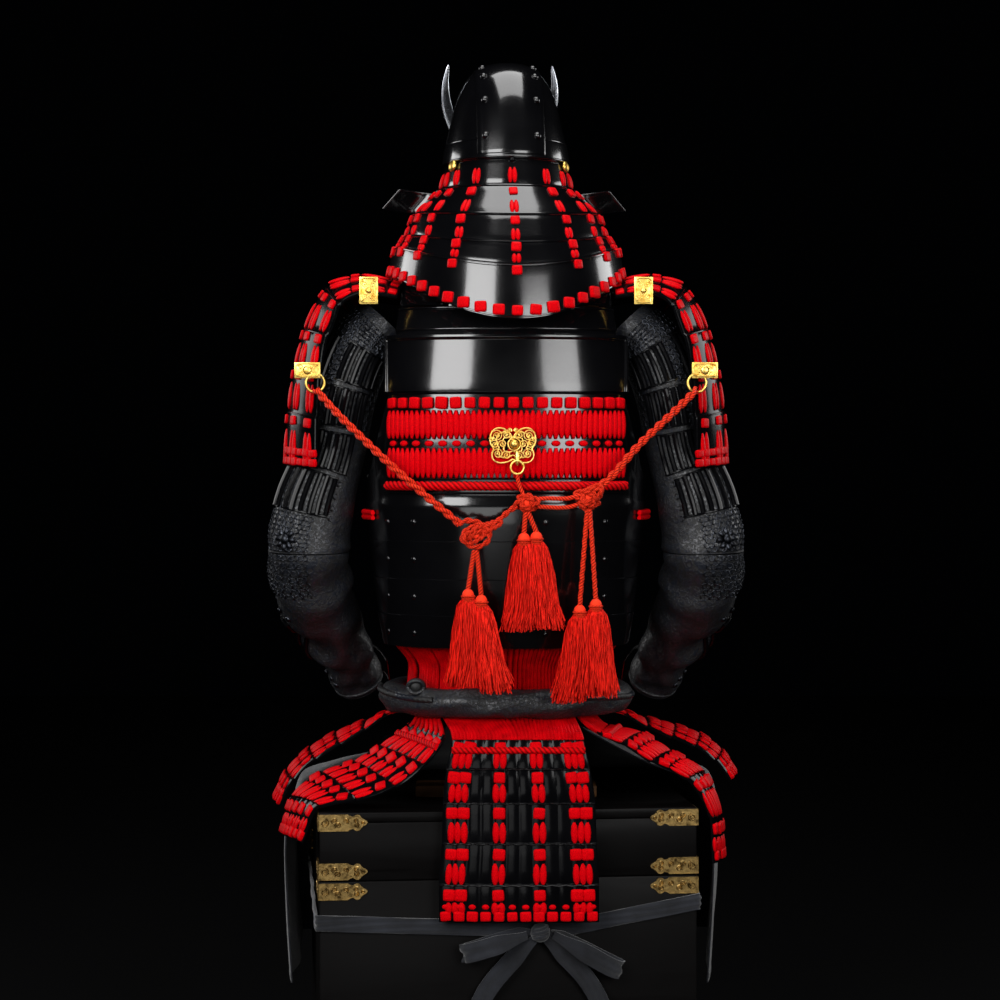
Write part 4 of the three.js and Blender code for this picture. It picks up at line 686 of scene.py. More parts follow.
def floor_paint(name):
    """Matt studio floor: black, hardly mottled."""
    made, tree, shader = material(name, {"Roughness": 0.95, "Specular IOR Level": 0.05})
    place = node(tree, "ShaderNodeTexCoord").outputs["Object"]
    mottle = node(tree, "ShaderNodeTexNoise", {"Vector": place, "Scale": 1.5, "Detail": 3, "Roughness": 0.55})
    tone(tree, shader, mottle, 0, 1, 0x020202, 0x040405)
    return made


FINISHES = {
    "lacquer": lacquer("black_urushi_polished", 0x040405, 0.13, 0.5),
    "worn_lacquer": lacquer("black_urushi_rubbed", 0x030304, 0.15, 0.06, 0.1),
    # lacing: the dark colour is partly painted shade between the braid's threads
    "lacing": silk_braid("red_silk_braid", 0xDA000C, 0x900006, 2.2),
    # knotted: the dark colour is painted shade in the folds between fibres; the light one is painted light on their
    # tops
    "knotted": silk_knot("red_silk_knots", 0xDC000D, 0x9C0007),
    # Ropes: the dark colour is painted shade in the grooves; the light one is the red with a painted highlight on
    # the strands' backs
    "laid": laid_silk("red_silk_rope", 0xDC000D, 0x5C0004),
    "cord": laid_silk("vermilion_silk_rope", 0xF83C22, 0x5E0604),
    # strands: the light colour is partly a painted highlight on the tassels
    "strands": silk_strands("vermilion_silk_strands", 0xFF2A1E, 0x8C0A08),
    "gilt": gilt("gilded_copper_chased", 0xFFDC78, 0xD8A038, 0.3),
    "brass": gilt("antique_brass_engraved", 0xB0925A, 0x3C2E18, 0.32),
    # brocade: the second colour is the satin figure's painted sheen
    "brocade": brocade("black_silk_damask", 0x020203, 0x1A1D24),
    "cotton": cotton("charcoal_cotton_plain_weave", 0x24262C, 0x121317),
    "chest_wood": wood("cedar_under_black_lacquer", 0x050404, 0x020101, 0.5, 0.03),
    "stand_wood": wood("planed_cypress_stained", 0x5A3D24, 0x2E1D10, 0.5, 0.0),
    "horn": steel("silvered_horn_plate", 0xC9CCD2, 0x8C9098, 0.2),
    "mail": steel("blackened_iron_mail", 0x4A4D54, 0x1E1F23, 0.3),
}


# Making pieces


def piece(name, form, finish, replaces=(), bevel=0.0, crease=40):
    """A finished piece from a form, in the frame's metres, riding on the root."""
    points = (np.concatenate(form.points) + SHIFT) / 1000
    faces, places = np.concatenate(form.faces), np.concatenate(form.places)
    used = faces >= 0
    counts = used.sum(1)
    mesh = bpy.data.meshes.new(name)
    mesh.vertices.add(len(points))
    mesh.vertices.foreach_set("co", points.ravel())
    mesh.loops.add(int(counts.sum()))
    mesh.loops.foreach_set("vertex_index", faces[used])
    mesh.polygons.add(len(faces))
    mesh.polygons.foreach_set("loop_start", np.concatenate([[0], np.cumsum(counts)[:-1]]))
    mesh.update(calc_edges=True)
    layer = mesh.uv_layers.new(name="Pattern")
    layer.data.foreach_set("uv", places[used].ravel())
    mesh.validate()
    made = bpy.data.objects.new(name, mesh)
    bpy.context.scene.collection.objects.link(made)
    if bevel:
        rounding = made.modifiers.new("Edges", "BEVEL")
        rounding.width = bevel / 1000
        rounding.segments = 2
        rounding.limit_method = "ANGLE"
        rounding.angle_limit = math.radians(55)
        settle(made)
    made.data.polygons.foreach_set("use_smooth", [True] * len(made.data.polygons))
    made.data.set_sharp_from_angle(angle=math.radians(crease))
    made.data.materials.clear()
    made.data.materials.append(FINISHES[finish])
    return enrol(made, replaces)


def settle(made):
    """Turns a piece's modifiers into its plain mesh."""
    graph = bpy.context.evaluated_depsgraph_get()
    mesh = bpy.data.meshes.new_from_object(made.evaluated_get(graph), depsgraph=graph)
    made.modifiers.clear()
    made.data = mesh
    return made


def enrol(made, replaces=()):
    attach(made, ROOT)
    if replaces:
        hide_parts(*replaces)
    return made


def repeat_tree(name, kind):
    """Geometry Nodes that set one small solid on every point, turned and sized by its attributes."""
    tree = bpy.data.node_groups.new(name, "GeometryNodeTree")
    tree.interface.new_socket("Places", in_out="INPUT", socket_type="NodeSocketGeometry")
    scale = tree.interface.new_socket("Scale of all", in_out="INPUT", socket_type="NodeSocketFloat")
    scale.default_value = 1.0
    tree.interface.new_socket("Finish", in_out="INPUT", socket_type="NodeSocketMaterial")
    tree.interface.new_socket("Pieces", in_out="OUTPUT", socket_type="NodeSocketGeometry")
    given = node(tree, "NodeGroupInput")
    if kind == "dome":
        solid = node(tree, "GeometryNodeMeshUVSphere", {"Segments": 10, "Rings": 6, "Radius": 0.5})
    elif kind == "ring":
        circle = node(tree, "GeometryNodeCurvePrimitiveCircle", {"Resolution": 8, "Radius": 0.5})
        drawn = node(tree, "GeometryNodeCurvePrimitiveCircle", {"Resolution": 3, "Radius": 0.11})
        solid = node(tree, "GeometryNodeCurveToMesh", {"Curve": circle, "Profile Curve": drawn})
    else:
        cube = node(tree, "GeometryNodeMeshCube", {"Size": (1.07, 1.07, 1.07)})
        solid = node(tree, "GeometryNodeSubdivisionSurface", {"Mesh": cube, "Level": 2, "Edge Crease": 0.45})
    turn, size = (
        node(tree, "GeometryNodeInputNamedAttribute", {"Name": label}, data_type="FLOAT_VECTOR")
        for label in ("turn", "size"))
    scale_of_all = given.outputs["Scale of all"]
    scaled = node(tree, "ShaderNodeVectorMath", {0: size, "Scale": scale_of_all}, operation="SCALE")
    copies = node(tree, "GeometryNodeInstanceOnPoints", {
        "Points": given.outputs["Places"], "Instance": solid, "Rotation": turn, "Scale": scaled})
    real = node(tree, "GeometryNodeRealizeInstances", {"Geometry": copies})
    shaded = node(tree, "GeometryNodeSetShadeSmooth", {"Geometry": real})
    coated = node(tree, "GeometryNodeSetMaterial", {"Geometry": shaded, "Material": given.outputs["Finish"]})
    node(tree, "NodeGroupOutput", {"Pieces": coated})
    return tree


REPEATS = {kind: repeat_tree("Repeat a " + kind, kind) for kind in ("dome", "pad", "ring")}


def repeated(name, kind, places, finish, replaces=()):
    """One piece of many small solids. Each place is (point, out, along, (wide, long, tall)) in millimetres."""
    points = np.array([p[0] for p in places], float)
    out = unit(np.array([p[1] for p in places], float))
    along = np.array([p[2] for p in places], float)
    along = unit(along - out * (along * out).sum(1, keepdims=True))
    across = np.cross(along, out)
    uneven = np.random.default_rng(len(places)).normal(0, 0.045 if kind == "pad" else 0.012, (len(places), 2))
    along, across = along + across * uneven[:, :1], across - along * uneven[:, :1]
    sizes = np.array([p[3] for p in places], float) / 1000 * (1 + uneven[:, 1:])
    angles = [Matrix(np.stack([a, b, c], -1).tolist()).to_euler() for a, b, c in zip(across, along, out)]
    mesh = bpy.data.meshes.new(name + "_places")
    mesh.vertices.add(len(points))
    mesh.vertices.foreach_set("co", ((points + SHIFT) / 1000).ravel())
    for label, values in (("turn", angles), ("size", sizes)):
        attribute = mesh.attributes.new(label, "FLOAT_VECTOR", "POINT")
        attribute.data.foreach_set("vector", np.array([tuple(v) for v in values]).ravel())
    made = bpy.data.objects.new(name, mesh)
    bpy.context.scene.collection.objects.link(made)
    tree = REPEATS[kind]
    setting = made.modifiers.new("Repeat", "NODES")
    setting.node_group = tree
    sockets = {item.name: item.identifier for item in tree.interface.items_tree if item.in_out == "INPUT"}
    setting[sockets["Scale of all"]] = 1.0
    setting[sockets["Finish"]] = FINISHES[finish]
    settle(made)
    if not made.data.uv_layers:
        made.data.uv_layers.new(name="Pattern")
    made.data.materials.clear()
    made.data.materials.append(FINISHES[finish])
    return enrol(made, replaces)


def skin(surface, lift=0.0, side=1):
    """Gives a surface's point at u, v, with its outward, downward and sideways directions."""

    def at(u, v):
        u, v = np.asarray(u, float), np.asarray(v, float)
        step = 1e-3
        across = surface(u + step, v) - surface(u - step, v)
        down = surface(u, v + step) - surface(u, v - step)
        out = unit(np.cross(across, down)) * side
        return surface(u, v) + out * level(lift, u, v)[..., None], out, down, across

    return at


def even(at, count, v=0.5):
    """Places along u, in the middle of equal stretches of the surface."""
    u = np.linspace(0, 1, 400)
    steps = np.linalg.norm(np.diff(at(u, v + 0 * u)[0], axis=0), axis=1)
    run = np.concatenate([[0], np.cumsum(steps)])
    return np.interp((np.arange(count) + 0.5) / count * run[-1], run, u)


def wire(form, at, u, v, radius, sides, clear=0.0):
    """Round wire along a line of a surface, with its middle clear of it by so much."""
    u, v = np.broadcast_arrays(u, v)
    line, out, _, _ = at(u, v)
    return tube(form, line + out * clear, round_section(radius, sides), up=out)


def hoop(form, centre, radius, thick, sides, count):
    """Upright round ring of wire, seen full on from behind."""
    turn = turns(count)
    ring = np.array(centre, float) + stack(radius * np.cos(turn), 0, radius * np.sin(turn))
    return tube(form, ring, round_section(thick, sides), ring=True, up=ALONG_Y)


def places_on(at, us, v, size, clear=0.0):
    """Places in a row along a surface, for small solids of one size."""
    made = []
    for u in us:
        point, out, down, _ = at(u, v)
        made.append((point + out * clear, out, down, size))
    return made


def lace_column(marks, at, u, rows, bars, square, wide, rise=5.5):
    """One column of lacing on one lame: crossed squares at the first row, slim bars between the others."""
    knots, top, low = rows
    middle = (top + low) / 2
    long = np.linalg.norm(at(u, low)[0] - at(u, top)[0])
    across = np.linalg.norm(at(u + 0.01, middle)[0] - at(u - 0.01, middle)[0]) / 0.02
    count = max(1, bars - 1) if knots is not None else 0
    for k in range(count):
        point, out, down, _ = at(u + (k - (count - 1) / 2) * square * 1.04 / across, knots)
        marks["pad"].append((point, out, down, (square, square * 0.95, rise)))
    for k in range(bars):
        point, out, down, _ = at(u + (k - (bars - 1) / 2) * wide / across, middle)
        marks["dome"].append((point, out, down, (wide * 1.16, long, rise * 1.1)))


def lacing_pieces(name, marks, side=1):
    """The knots and the bars of one lacing, each as a piece."""
    for kind, label in (("pad", "knots"), ("dome", "bars")):
        if marks[kind]:
            repeated(name + "_" + label, kind, flip_marks(marks[kind], side), "knotted")


# Surfaces of the armour, the same as the frame's


def torso(angle, z, out=0.0):
    """Point on the cuirass outline, at an angle in degrees from the middle of the back."""
    a = np.interp(z, TORSO["z"], TORSO["a"]) + out
    b = np.interp(z, TORSO["z"], TORSO["b"]) + out
    turn = np.radians(angle)
    x = a * signed_power(np.sin(turn), 2 / SECTION_POWER)
    y = -b * signed_power(np.cos(turn), 2 / SECTION_POWER)
    return stack(x, y, z)


def torso_angle(x, z):
    share = np.minimum(1, np.abs(x) / np.interp(z, TORSO["z"], TORSO["a"]))
    return np.sign(x) * np.degrees(np.arcsin(share ** (SECTION_POWER / 2)))


def band_surface(half, low, top):
    """Part of the upper back, u from left to right and v upwards."""

    def surface(u, v):
        z = mix(low, top, v)
        return torso((2 * u - 1) * torso_angle(half, z), z)

    return surface


def belt_point(angle, out, z):
    def at(t):
        turn = np.radians(t)
        return BELT["a"] * signed_power(np.sin(turn), 0.86), -BELT["b"] * signed_power(np.cos(turn), 0.86)

    x, y = at(angle)
    ahead, behind = at(angle + 0.5), at(angle - 0.5)
    dx, dy = ahead[0] - behind[0], ahead[1] - behind[1]
    size = np.hypot(dx, dy)
    return stack(x + out * dy / size, y - out * dx / size, z)


def neck_surface(k):
    row = {key: values[k] for key, values in NECK.items()}

    def surface(u, t):
        turn = np.radians((2 * u - 1) * row["sweep"])
        side = np.sin(turn) ** 2
        top = mix(row["top_back"], row["top_side"], side)
        low = mix(row["low_back"], row["low_side"], side)
        x = mix(row["top_a"], row["low_a"], t) * np.sin(turn)
        y = -mix(row["top_b"], row["low_b"], t) * np.cos(turn)
        return on_head(stack(x, y, mix(top, low, t)))

    return surface


def on_head(points):
    """Turns points with the helmet and sets them over the stand."""
    turn = math.radians(HELMET["yaw"])
    x, y, z = points[..., 0], points[..., 1], points[..., 2]
    turned = x * math.sin(turn) + y * math.cos(turn)
    return stack(x * math.cos(turn) - y * math.sin(turn), HELMET["y"] + turned, z)


def on_chest(points):
    """Turns points with the chest."""
    turn = math.radians(CHEST["yaw"])
    x, y, z = points[..., 0], points[..., 1], points[..., 2]
    wx = CHEST["x"] + x * math.cos(turn) - y * math.sin(turn)
    return stack(wx, CHEST["y"] + x * math.sin(turn) + y * math.cos(turn), z)


def guard_surface(u, v):
    bulge = 1 - (2 * u - 1) ** 2
    x = mix(column(GUARD["edge_x"], v), column(GUARD["mid_x"], v), bulge)
    z = mix(column(GUARD["edge_z"], v), column(GUARD["mid_z"], v), bulge)
    return stack(x, mix(GUARD_SPAN[0], GUARD_SPAN[1], u), z)


def sleeve_surface(u, v):
    def centre(t):
        return stack(*(column(SLEEVE[key], np.clip(t, 0, 1)) for key in "xyz"))

    along = unit(centre(v + 0.01) - centre(v - 0.01))
    across = unit(np.cross([0, 1, 0], along))
    deep = unit(np.cross(along, across))
    turn = 2 * math.pi * u
    crease = 3.2 * smooth((v - 0.45) / 0.2) * np.sin(11 * v * math.pi + 2.2 * np.sin(turn))
    r, d = column(SLEEVE["r"], v) + crease * 0.8, column(SLEEVE["d"], v) + crease * 0.8
    return centre(v) + across * (r * np.cos(turn))[..., None] + deep * (d * np.sin(turn))[..., None]


def other_side(panel, name):
    """The same panel on the armour's other side."""
    rows = {key: -values if key in ("ax", "bx") else values for key, values in panel["rows"].items()}
    span = tuple(-angle for angle in panel["span"])
    return dict(panel, name=name, span=span, side=-panel["side"], rows=rows)


SKIRT.append(other_side(SKIRT[-1], "tasset_front_right"))


def skirt_surface(panel):
    """A skirt panel: four rows of lacing from the cuirass to under the belt, then its lames' rows."""
    rows = panel["rows"]

    def surface(u, v):
        angle = mix(panel["span"][0], panel["span"][1], u)
        first = [
            torso(angle, LACE_TOP + 0 * u, -8), belt_point(angle, -24, 690 + 0 * u),
            belt_point(angle, -21.4, 654 + 0 * u), belt_point(angle, -21.4, 634 + 0 * u),
        ]
        rest = [
            stack(*(mix(rows["a" + key][i], rows["b" + key][i], u) for key in "xyz"))
            for i in range(len(rows["ax"]))
        ]
        points = np.array(first + rest)
        return stack(*(column(points[..., k], v) for k in range(3)))

    return surface


SKIRT_START = 4 / 9


def lame_lean(v, start, count, step=2.6):
    """Each lame leans: its top edge stands proud of the lame above it."""
    place = np.clip((v - start) / (1 - start), 0, 1) * count
    k = np.minimum(count - 1, np.floor(place))
    return np.where(v < start, 0, step * (0.5 - (place - k)) * np.where(k == 0, 0.4, 1))


def skirt_lift(panel):
    def lift(u, v):
        crown = panel["crown"] * smooth((v - SKIRT_START) / 0.2) * (1 - (2 * u - 1) ** 2)
        return crown + lame_lean(v, SKIRT_START, LAMES)

    return lift


# Stage


class StageSizes(bpy.types.PropertyGroup):
    camera_distance: bpy.props.FloatProperty(
        name="Camera distance", description="From the middle of the armour to the camera",
        default=3.4173, unit="LENGTH")
    camera_height: bpy.props.FloatProperty(
        name="Camera height", description="Height of the lens over the floor",
        default=0.998, unit="LENGTH")
    camera_side: bpy.props.FloatProperty(
        name="Camera offset", description="How far the lens stands right of the middle",
        default=-0.008, unit="LENGTH")
    lens: bpy.props.FloatProperty(
        name="Lens", description="Focal length on a 36 mm frame, in millimetres", default=83.5, min=10)
    light: bpy.props.FloatProperty(
        name="Light", description="Strength of the soft boxes against their usual strength",
        default=1.0, min=0)


class ARMOUR_OT_stage(bpy.types.Operator):
    """Sets the camera, the soft lights and the floor"""

    bl_idname = "armour.stage"
    bl_label = "Stage"

    def execute(self, context):
        sizes = context.scene.armour_stage
        add_camera(sizes)
        for name, place, aim, width, power in SOFT_BOXES:
            add_soft_box(name, place, aim, width, power * sizes.light)
        add_floor()
        world = bpy.data.worlds.new("Dark studio")
        world.use_nodes = True
        world.node_tree.nodes["Background"].inputs["Color"].default_value = linear(0x9FA8B8)
        world.node_tree.nodes["Background"].inputs["Strength"].default_value = 0.001
        context.scene.world = world
        context.scene.view_settings.view_transform = "Standard"
        return {"FINISHED"}


# Soft boxes: name, place and aim in metres, width and power
SOFT_BOXES = [
    ("Key box", (-1.5, -2.9, 2.1), (0, 0, 1.0), 1.7, 84),
    ("Fill box", (1.5, -2.9, 1.5), (0, 0, 0.8), 1.5, 50),
    ("Low box", (-0.4, -3.0, 0.3), (0, 0, 0.5), 1.0, 6),
    ("Top box", (0.1, -0.5, 3.1), (0, 0, 0.9), 1.6, 40),
    ("Left rim box", (-2.3, 1.0, 1.6), (0, 0, 0.9), 1.0, 14),
    ("Right rim box", (2.3, 1.0, 1.6), (0, 0, 0.9), 1.0, 14),
]


def add_camera(sizes):
    camera = bpy.data.cameras.new("Camera")
    camera.lens = sizes.lens
    camera.sensor_width = 36
    camera.shift_y = -0.05
    placed = bpy.data.objects.new("Camera", camera)
    placed.location = (sizes.camera_side, -sizes.camera_distance, sizes.camera_height)
    placed.rotation_euler = (math.radians(90), 0, 0)
    bpy.context.scene.collection.objects.link(placed)
    bpy.context.scene.camera = placed


def add_soft_box(name, place, aim, width, power):
    light = bpy.data.lights.new(name, "AREA")
    light.shape = "SQUARE"
    light.size = width
    light.energy = power
    placed = bpy.data.objects.new(name, light)
    placed.location = place
    placed.rotation_euler = (Vector(aim) - Vector(place)).to_track_quat("-Z", "Y").to_euler()
    bpy.context.scene.collection.objects.link(placed)


def add_floor():
    """Large square of floor, a little under the chest's feet."""
    mesh = bpy.data.meshes.new("Floor")
    half, low = 6, -0.001
    corners = [(-half, -half, low), (half, -half, low), (half, half, low), (-half, half, low)]
    mesh.from_pydata(corners, [], [(0, 1, 2, 3)])
    mesh.materials.append(floor_paint("studio_floor_paint"))
    floor = bpy.data.objects.new("Floor", mesh)
    bpy.context.scene.collection.objects.link(floor)


# Cords


class CordSizes(bpy.types.PropertyGroup):
    pitch: bpy.props.FloatProperty(
        name="Lay", description="Length in which the cord's strands go once round",
        default=0.034, unit="LENGTH")
    strands: bpy.props.IntProperty(
        name="Tassel strands", description="Silk strands in each tassel", default=350, min=20, max=600)


class ARMOUR_OT_cords(bpy.types.Operator):
    """Makes the twisted cords, their knots and the tassels"""

    bl_idname = "armour.cords"
    bl_label = "Cords and tassels"

    def execute(self, context):
        sizes = context.scene.armour_cords
        knots = {name: add_knot(name, row) for name, row in KNOTS.items()}
        for row in CORDS:
            add_cord(row, sizes.pitch * 1000)
        for pair in KNOTS:
            add_tassels(pair, sizes.strands)
        return {"FINISHED"}


def add_cord(row, pitch):
    rough_length = path_length(np.array(row["points"], float))
    path = along_curve(row["points"], max(40, int(rough_length / 1.3)))
    if row["radius"] > 4:
        form = doubled(Form(), path, row["radius"], pitch * row["radius"] / 6)
    else:
        form = tube(Form(), path, twisted_section(row["radius"], 13, 3, 0.34, 20))
    made = piece(row["name"], form, "cord", (row["node"],), crease=80)
    path_length(path) / 1000
    return made


def doubled(form, path, radius, pitch, ring=False):
    """Two laid ropes, twisted round each other once in one pitch."""
    ahead = unit(np.gradient(path, axis=0))
    side = unit(np.cross(ahead, [0.02, 1, 0.05]))
    out = np.cross(side, ahead)
    run = np.concatenate([[0], np.cumsum(np.linalg.norm(np.diff(path, axis=0), axis=1))])
    whole = run[-1] + (run[1] if ring else 0)
    rounds = max(1, round(whole / pitch)) if ring else whole / pitch
    turn = (2 * math.pi * rounds * run / whole)[:, None]
    for start in (0, math.pi):
        offset = (side * np.cos(turn + start) + out * np.sin(turn + start)) * radius * 0.48
        strand = twisted_section(radius * 0.54, pitch * 0.36, 3, 0.3, 11)
        tube(form, path + offset, strand, ring=ring, up=(0.02, 1, 0.05))
    return form


def add_knot(name, row):
    """Knot of long interlaced loops of doubled cord, drawn tight over a small core."""
    centre, radii = np.array(row["at"], float), np.array(row["radii"], float)
    form = ball(Form(), radii * 0.55, centre)
    turn = turns(56)
    for tilt, long, reach, rise, front in row["loops"]:
        x, z = np.cos(turn) * long, np.sin(turn) * 0.5
        y = 0.5 * np.sin(2 * turn + front) - 0.12
        along, upward = x * math.cos(tilt) - z * math.sin(tilt), x * math.sin(tilt) + z * math.cos(tilt)
        loop = stack(along + reach, y, upward + rise)
        doubled(form, centre + loop * radii, 0.36 * radii.min(), 15, ring=True)
    return piece("knot_" + name, form, "cord", (row["node"],), crease=80)


def add_tassels(pair, count):
    """Two tassels on their tails, each a bound head over a full skirt of strands."""
    form, skirt = Form(), Form()
    knot = KNOTS[pair]
    for side, row in enumerate(r for r in TASSELS if r["pair"] == pair):
        seed = np.random.default_rng(11 + side + 7 * len(pair))
        at = knot["at"]
        start = np.array([at[0] + (1.8 if side else -1.8), at[1], knot["tail"]], float)
        head = np.array([row["x"], row["y"], row["z"]], float)
        middle = np.array([mix(start[0], head[0], 0.5), row["y"], mix(start[2], head[2], 0.5)])
        tube(form, along_curve([start, middle, head], 40), twisted_section(3.6, 13, 3, 0.34, 16))
        centre = head - [0, 0, 7]
        ball(form, (8.2, 7.4, 8.6), centre)
        core = head + [row["lean"] * 0.3, 0, -58]
        ball(skirt, (13, 7.5, 44), core, 20, 14)
        for drop, radius in ((-2, 8.4), (-5.2, 7.4), (-8, 6.6)):
            turn = turns(32)
            ring = centre + stack(radius * np.cos(turn), radius * 0.9 * np.sin(turn), drop)
            tube(form, ring, round_section(1.7, 8), ring=True)
        add_strands(skirt, head, row["lean"], count, seed)
    piece("tassel_strands_" + pair, skirt, "strands", crease=80)
    return piece("tassels_" + pair, form, "cord", ("tassel_pair_" + pair,), crease=80)


def add_strands(form, head, lean, count, seed):
    """Strands that spread from the head's foot, bow outwards, and end unevenly."""
    turn = seed.uniform(0, 2 * math.pi, count)
    far = np.sqrt(seed.uniform(0.1, 1, count))
    long = seed.uniform(-14, 5, count)
    steps = 7
    t = np.linspace(0, 1, steps)[None, :] ** 1.2
    spread = far[:, None] * np.interp(t, [0, 0.05, 0.13, 0.35, 0.7, 1], [0.26, 0.5, 0.76, 0.93, 1, 1.07])
    frayed = seed.uniform(-5, 5, count)[:, None] * smooth((t - 0.75) / 0.25)
    wave = 1.3 * np.sin(9 * t + seed.uniform(0, 6, count)[:, None]) * smooth(t / 0.2) + frayed
    x = head[0] + lean * t**1.5 + np.cos(turn)[:, None] * spread * 20.5 + wave
    y = head[1] + np.sin(turn)[:, None] * spread * 13 + 0.6 * frayed
    z = head[2] - 8 - (121 + long)[:, None] * t
    paths = np.stack([x, y, z], -1)
    radius = 0.85 * np.ones(steps)
    corners = np.array([(1, 0), (-0.5, 0.87), (-0.5, -0.87)])
    rings = paths[:, :, None, :] + np.concatenate(
        [corners[None, None] * radius[None, :, None, None], np.zeros((1, steps, 3, 1))], -1)
    faces, i, j = grid_faces(3, steps, ring_u=True)
    caps = np.array([(0, 2, 1, -1), (3 * steps - 1, 3 * steps - 3, 3 * steps - 2, -1)])
    all_faces = np.concatenate([faces, caps])
    places = np.concatenate([np.stack([2.0 * i, 15.0 * j], -1), np.zeros((2, 4, 2))])
    for ring in rings:
        form.add(ring.reshape(-1, 3), all_faces, places)


# Helmet


class HelmetSizes(bpy.types.PropertyGroup):
    rivet: bpy.props.FloatProperty(
        name="Rivet", description="Width of the round rivets on the crown",
        default=0.0105, unit="LENGTH")
    button: bpy.props.FloatProperty(
        name="Button", description="Width of the gilt buttons over the neck guard",
        default=0.018, unit="LENGTH")


class ARMOUR_OT_helmet(bpy.types.Operator):
    """Makes the bowl with its crown plate, rim and rivets, the peak, the turn-backs and the horns"""

    bl_idname = "armour.helmet"
    bl_label = "Helmet"

    def execute(self, context):
        sizes = context.scene.armour_helmet
        add_bowl(sizes.rivet * 1000)
        add_neck_guard(sizes.button * 1000)
        add_peak()
        add_horns()
        return {"FINISHED"}


def bowl_height(radius):
    return np.interp(radius, BOWL["radius"][::-1], BOWL["height"][::-1])


def bowl_surface(u, v):
    """u round the bowl from the brow, v from the rim to the crown."""
    turn = 2 * math.pi * u
    radius, height = column(BOWL["radius"], v), column(BOWL["height"], v)
    x, y = radius * np.sin(turn), radius * np.cos(turn) * HELMET["ratio"]
    return on_head(stack(x, y, HELMET["base"] + height))


def crown_surface(u, v):
    """Strip over the bowl, u from left to right and v from the nape to the brow."""
    x = mix(-47, 47, u)
    reach = np.sqrt(90.4**2 - x * x)
    y = -reach * np.cos(math.pi * np.clip(v, 0, 1))
    z = bowl_height(np.hypot(x, y))
    return on_head(stack(x, y * HELMET["ratio"], HELMET["base"] + z))


def add_bowl(rivet):
    us, crown_lift = np.linspace(0, 1, 65), 2.6
    form = shell(Form(), bowl_surface, us, np.linspace(0, 1, 29), 2.5, side=-1, ring=True)
    top = on_head(np.array([0, 0, HELMET["base"] + BOWL["height"][-1]]))
    ball(form, (2.5, 2.5, 1.6), top)

    def rib(u, v):
        return 0.9 * np.exp(-(((u - 0.04) / 0.02) ** 2)) + 0.9 * np.exp(-(((u - 0.96) / 0.02) ** 2))

    def rim(u, v):
        return bowl_surface(u, 0.115 * v)

    shell(form, crown_surface, np.linspace(0, 1, 29), np.linspace(0, 1, 41), 3.5, crown_lift, rib, bead=0.8)
    shell(form, rim, us, np.linspace(0, 1, 5), 2.2, 1.8, side=-1, ring=True, bead=0.5)
    for v in (0.0, 0.118):
        tube(form, bowl_surface(us[:-1], v + 0 * us[:-1]), round_section(2.1, 8), ring=True)
    height = np.linspace(0.1, 0.93, 24)
    for u in (0.1, 0.15, 0.2, 0.25, 0.75, 0.8, 0.85, 0.9):
        tube(form, bowl_surface(u + 0 * height, height), round_section(1.0, 6))
    piece("helmet_plates", form, "lacquer", ("helmet_bowl",), crease=50)
    at = skin(crown_surface, crown_lift)
    places = []
    for v in (0.11, 0.218, 0.311, 0.42, 0.58, 0.689, 0.782, 0.89):
        places += places_on(at, (0.12, 0.88), v, (rivet, rivet, rivet * 0.8))
    repeated("helmet_rivets", "dome", places, "lacquer")


# Angles of the neck guard's columns of lacing from the middle of the back, in degrees
NECK_COLUMNS = (-96, -84, -70, -54, -32, 0, 32, 54, 70, 84, 96)


def add_neck_guard(button):
    marks = {"pad": [], "dome": []}
    for k in range(5):
        surface = neck_surface(k)
        at = skin(surface, side=-1)
        form = shell(Form(), surface, np.linspace(0, 1, 73), np.linspace(0, 1, 9), 2.5, side=-1, bead=0.7)
        for v in (0.03, 0.97):
            wire(form, at, np.linspace(0.004, 0.996, 90), v, 1.3, 6)
        piece("neck_guard_%d" % (k + 1), form, "lacquer", ("neck_lame_%d" % (k + 1),), crease=50)
        columns = [0.5 + angle / (2 * NECK["sweep"][k]) for angle in NECK_COLUMNS]
        if k == 4:
            marks["pad"] += places_on(at, columns, 0.12, (13, 12, 5.5))
            marks["pad"] += places_on(at, even(at, 29, 0.86), 0.86, (15.5, 14, 6))
            continue
        for u in columns:
            lace_column(marks, at, u, (0.24 if k else None, 0.52 if k else 0.35, 0.97), 2, 12.5, 6.2)
    lacing_pieces("neck_guard_lacing", marks)
    at = skin(neck_surface(0), side=-1)
    sides = [0.5 + angle / (2 * NECK["sweep"][0]) for angle in (-60, 60)]
    repeated("helmet_buttons", "dome", places_on(at, sides, 0.2, (button, button, 9), 3.5), "gilt")
    repeated("helmet_rear_knob", "dome", places_on(at, [0.5], 0.1, (11, 9, 10)), "worn_lacquer")


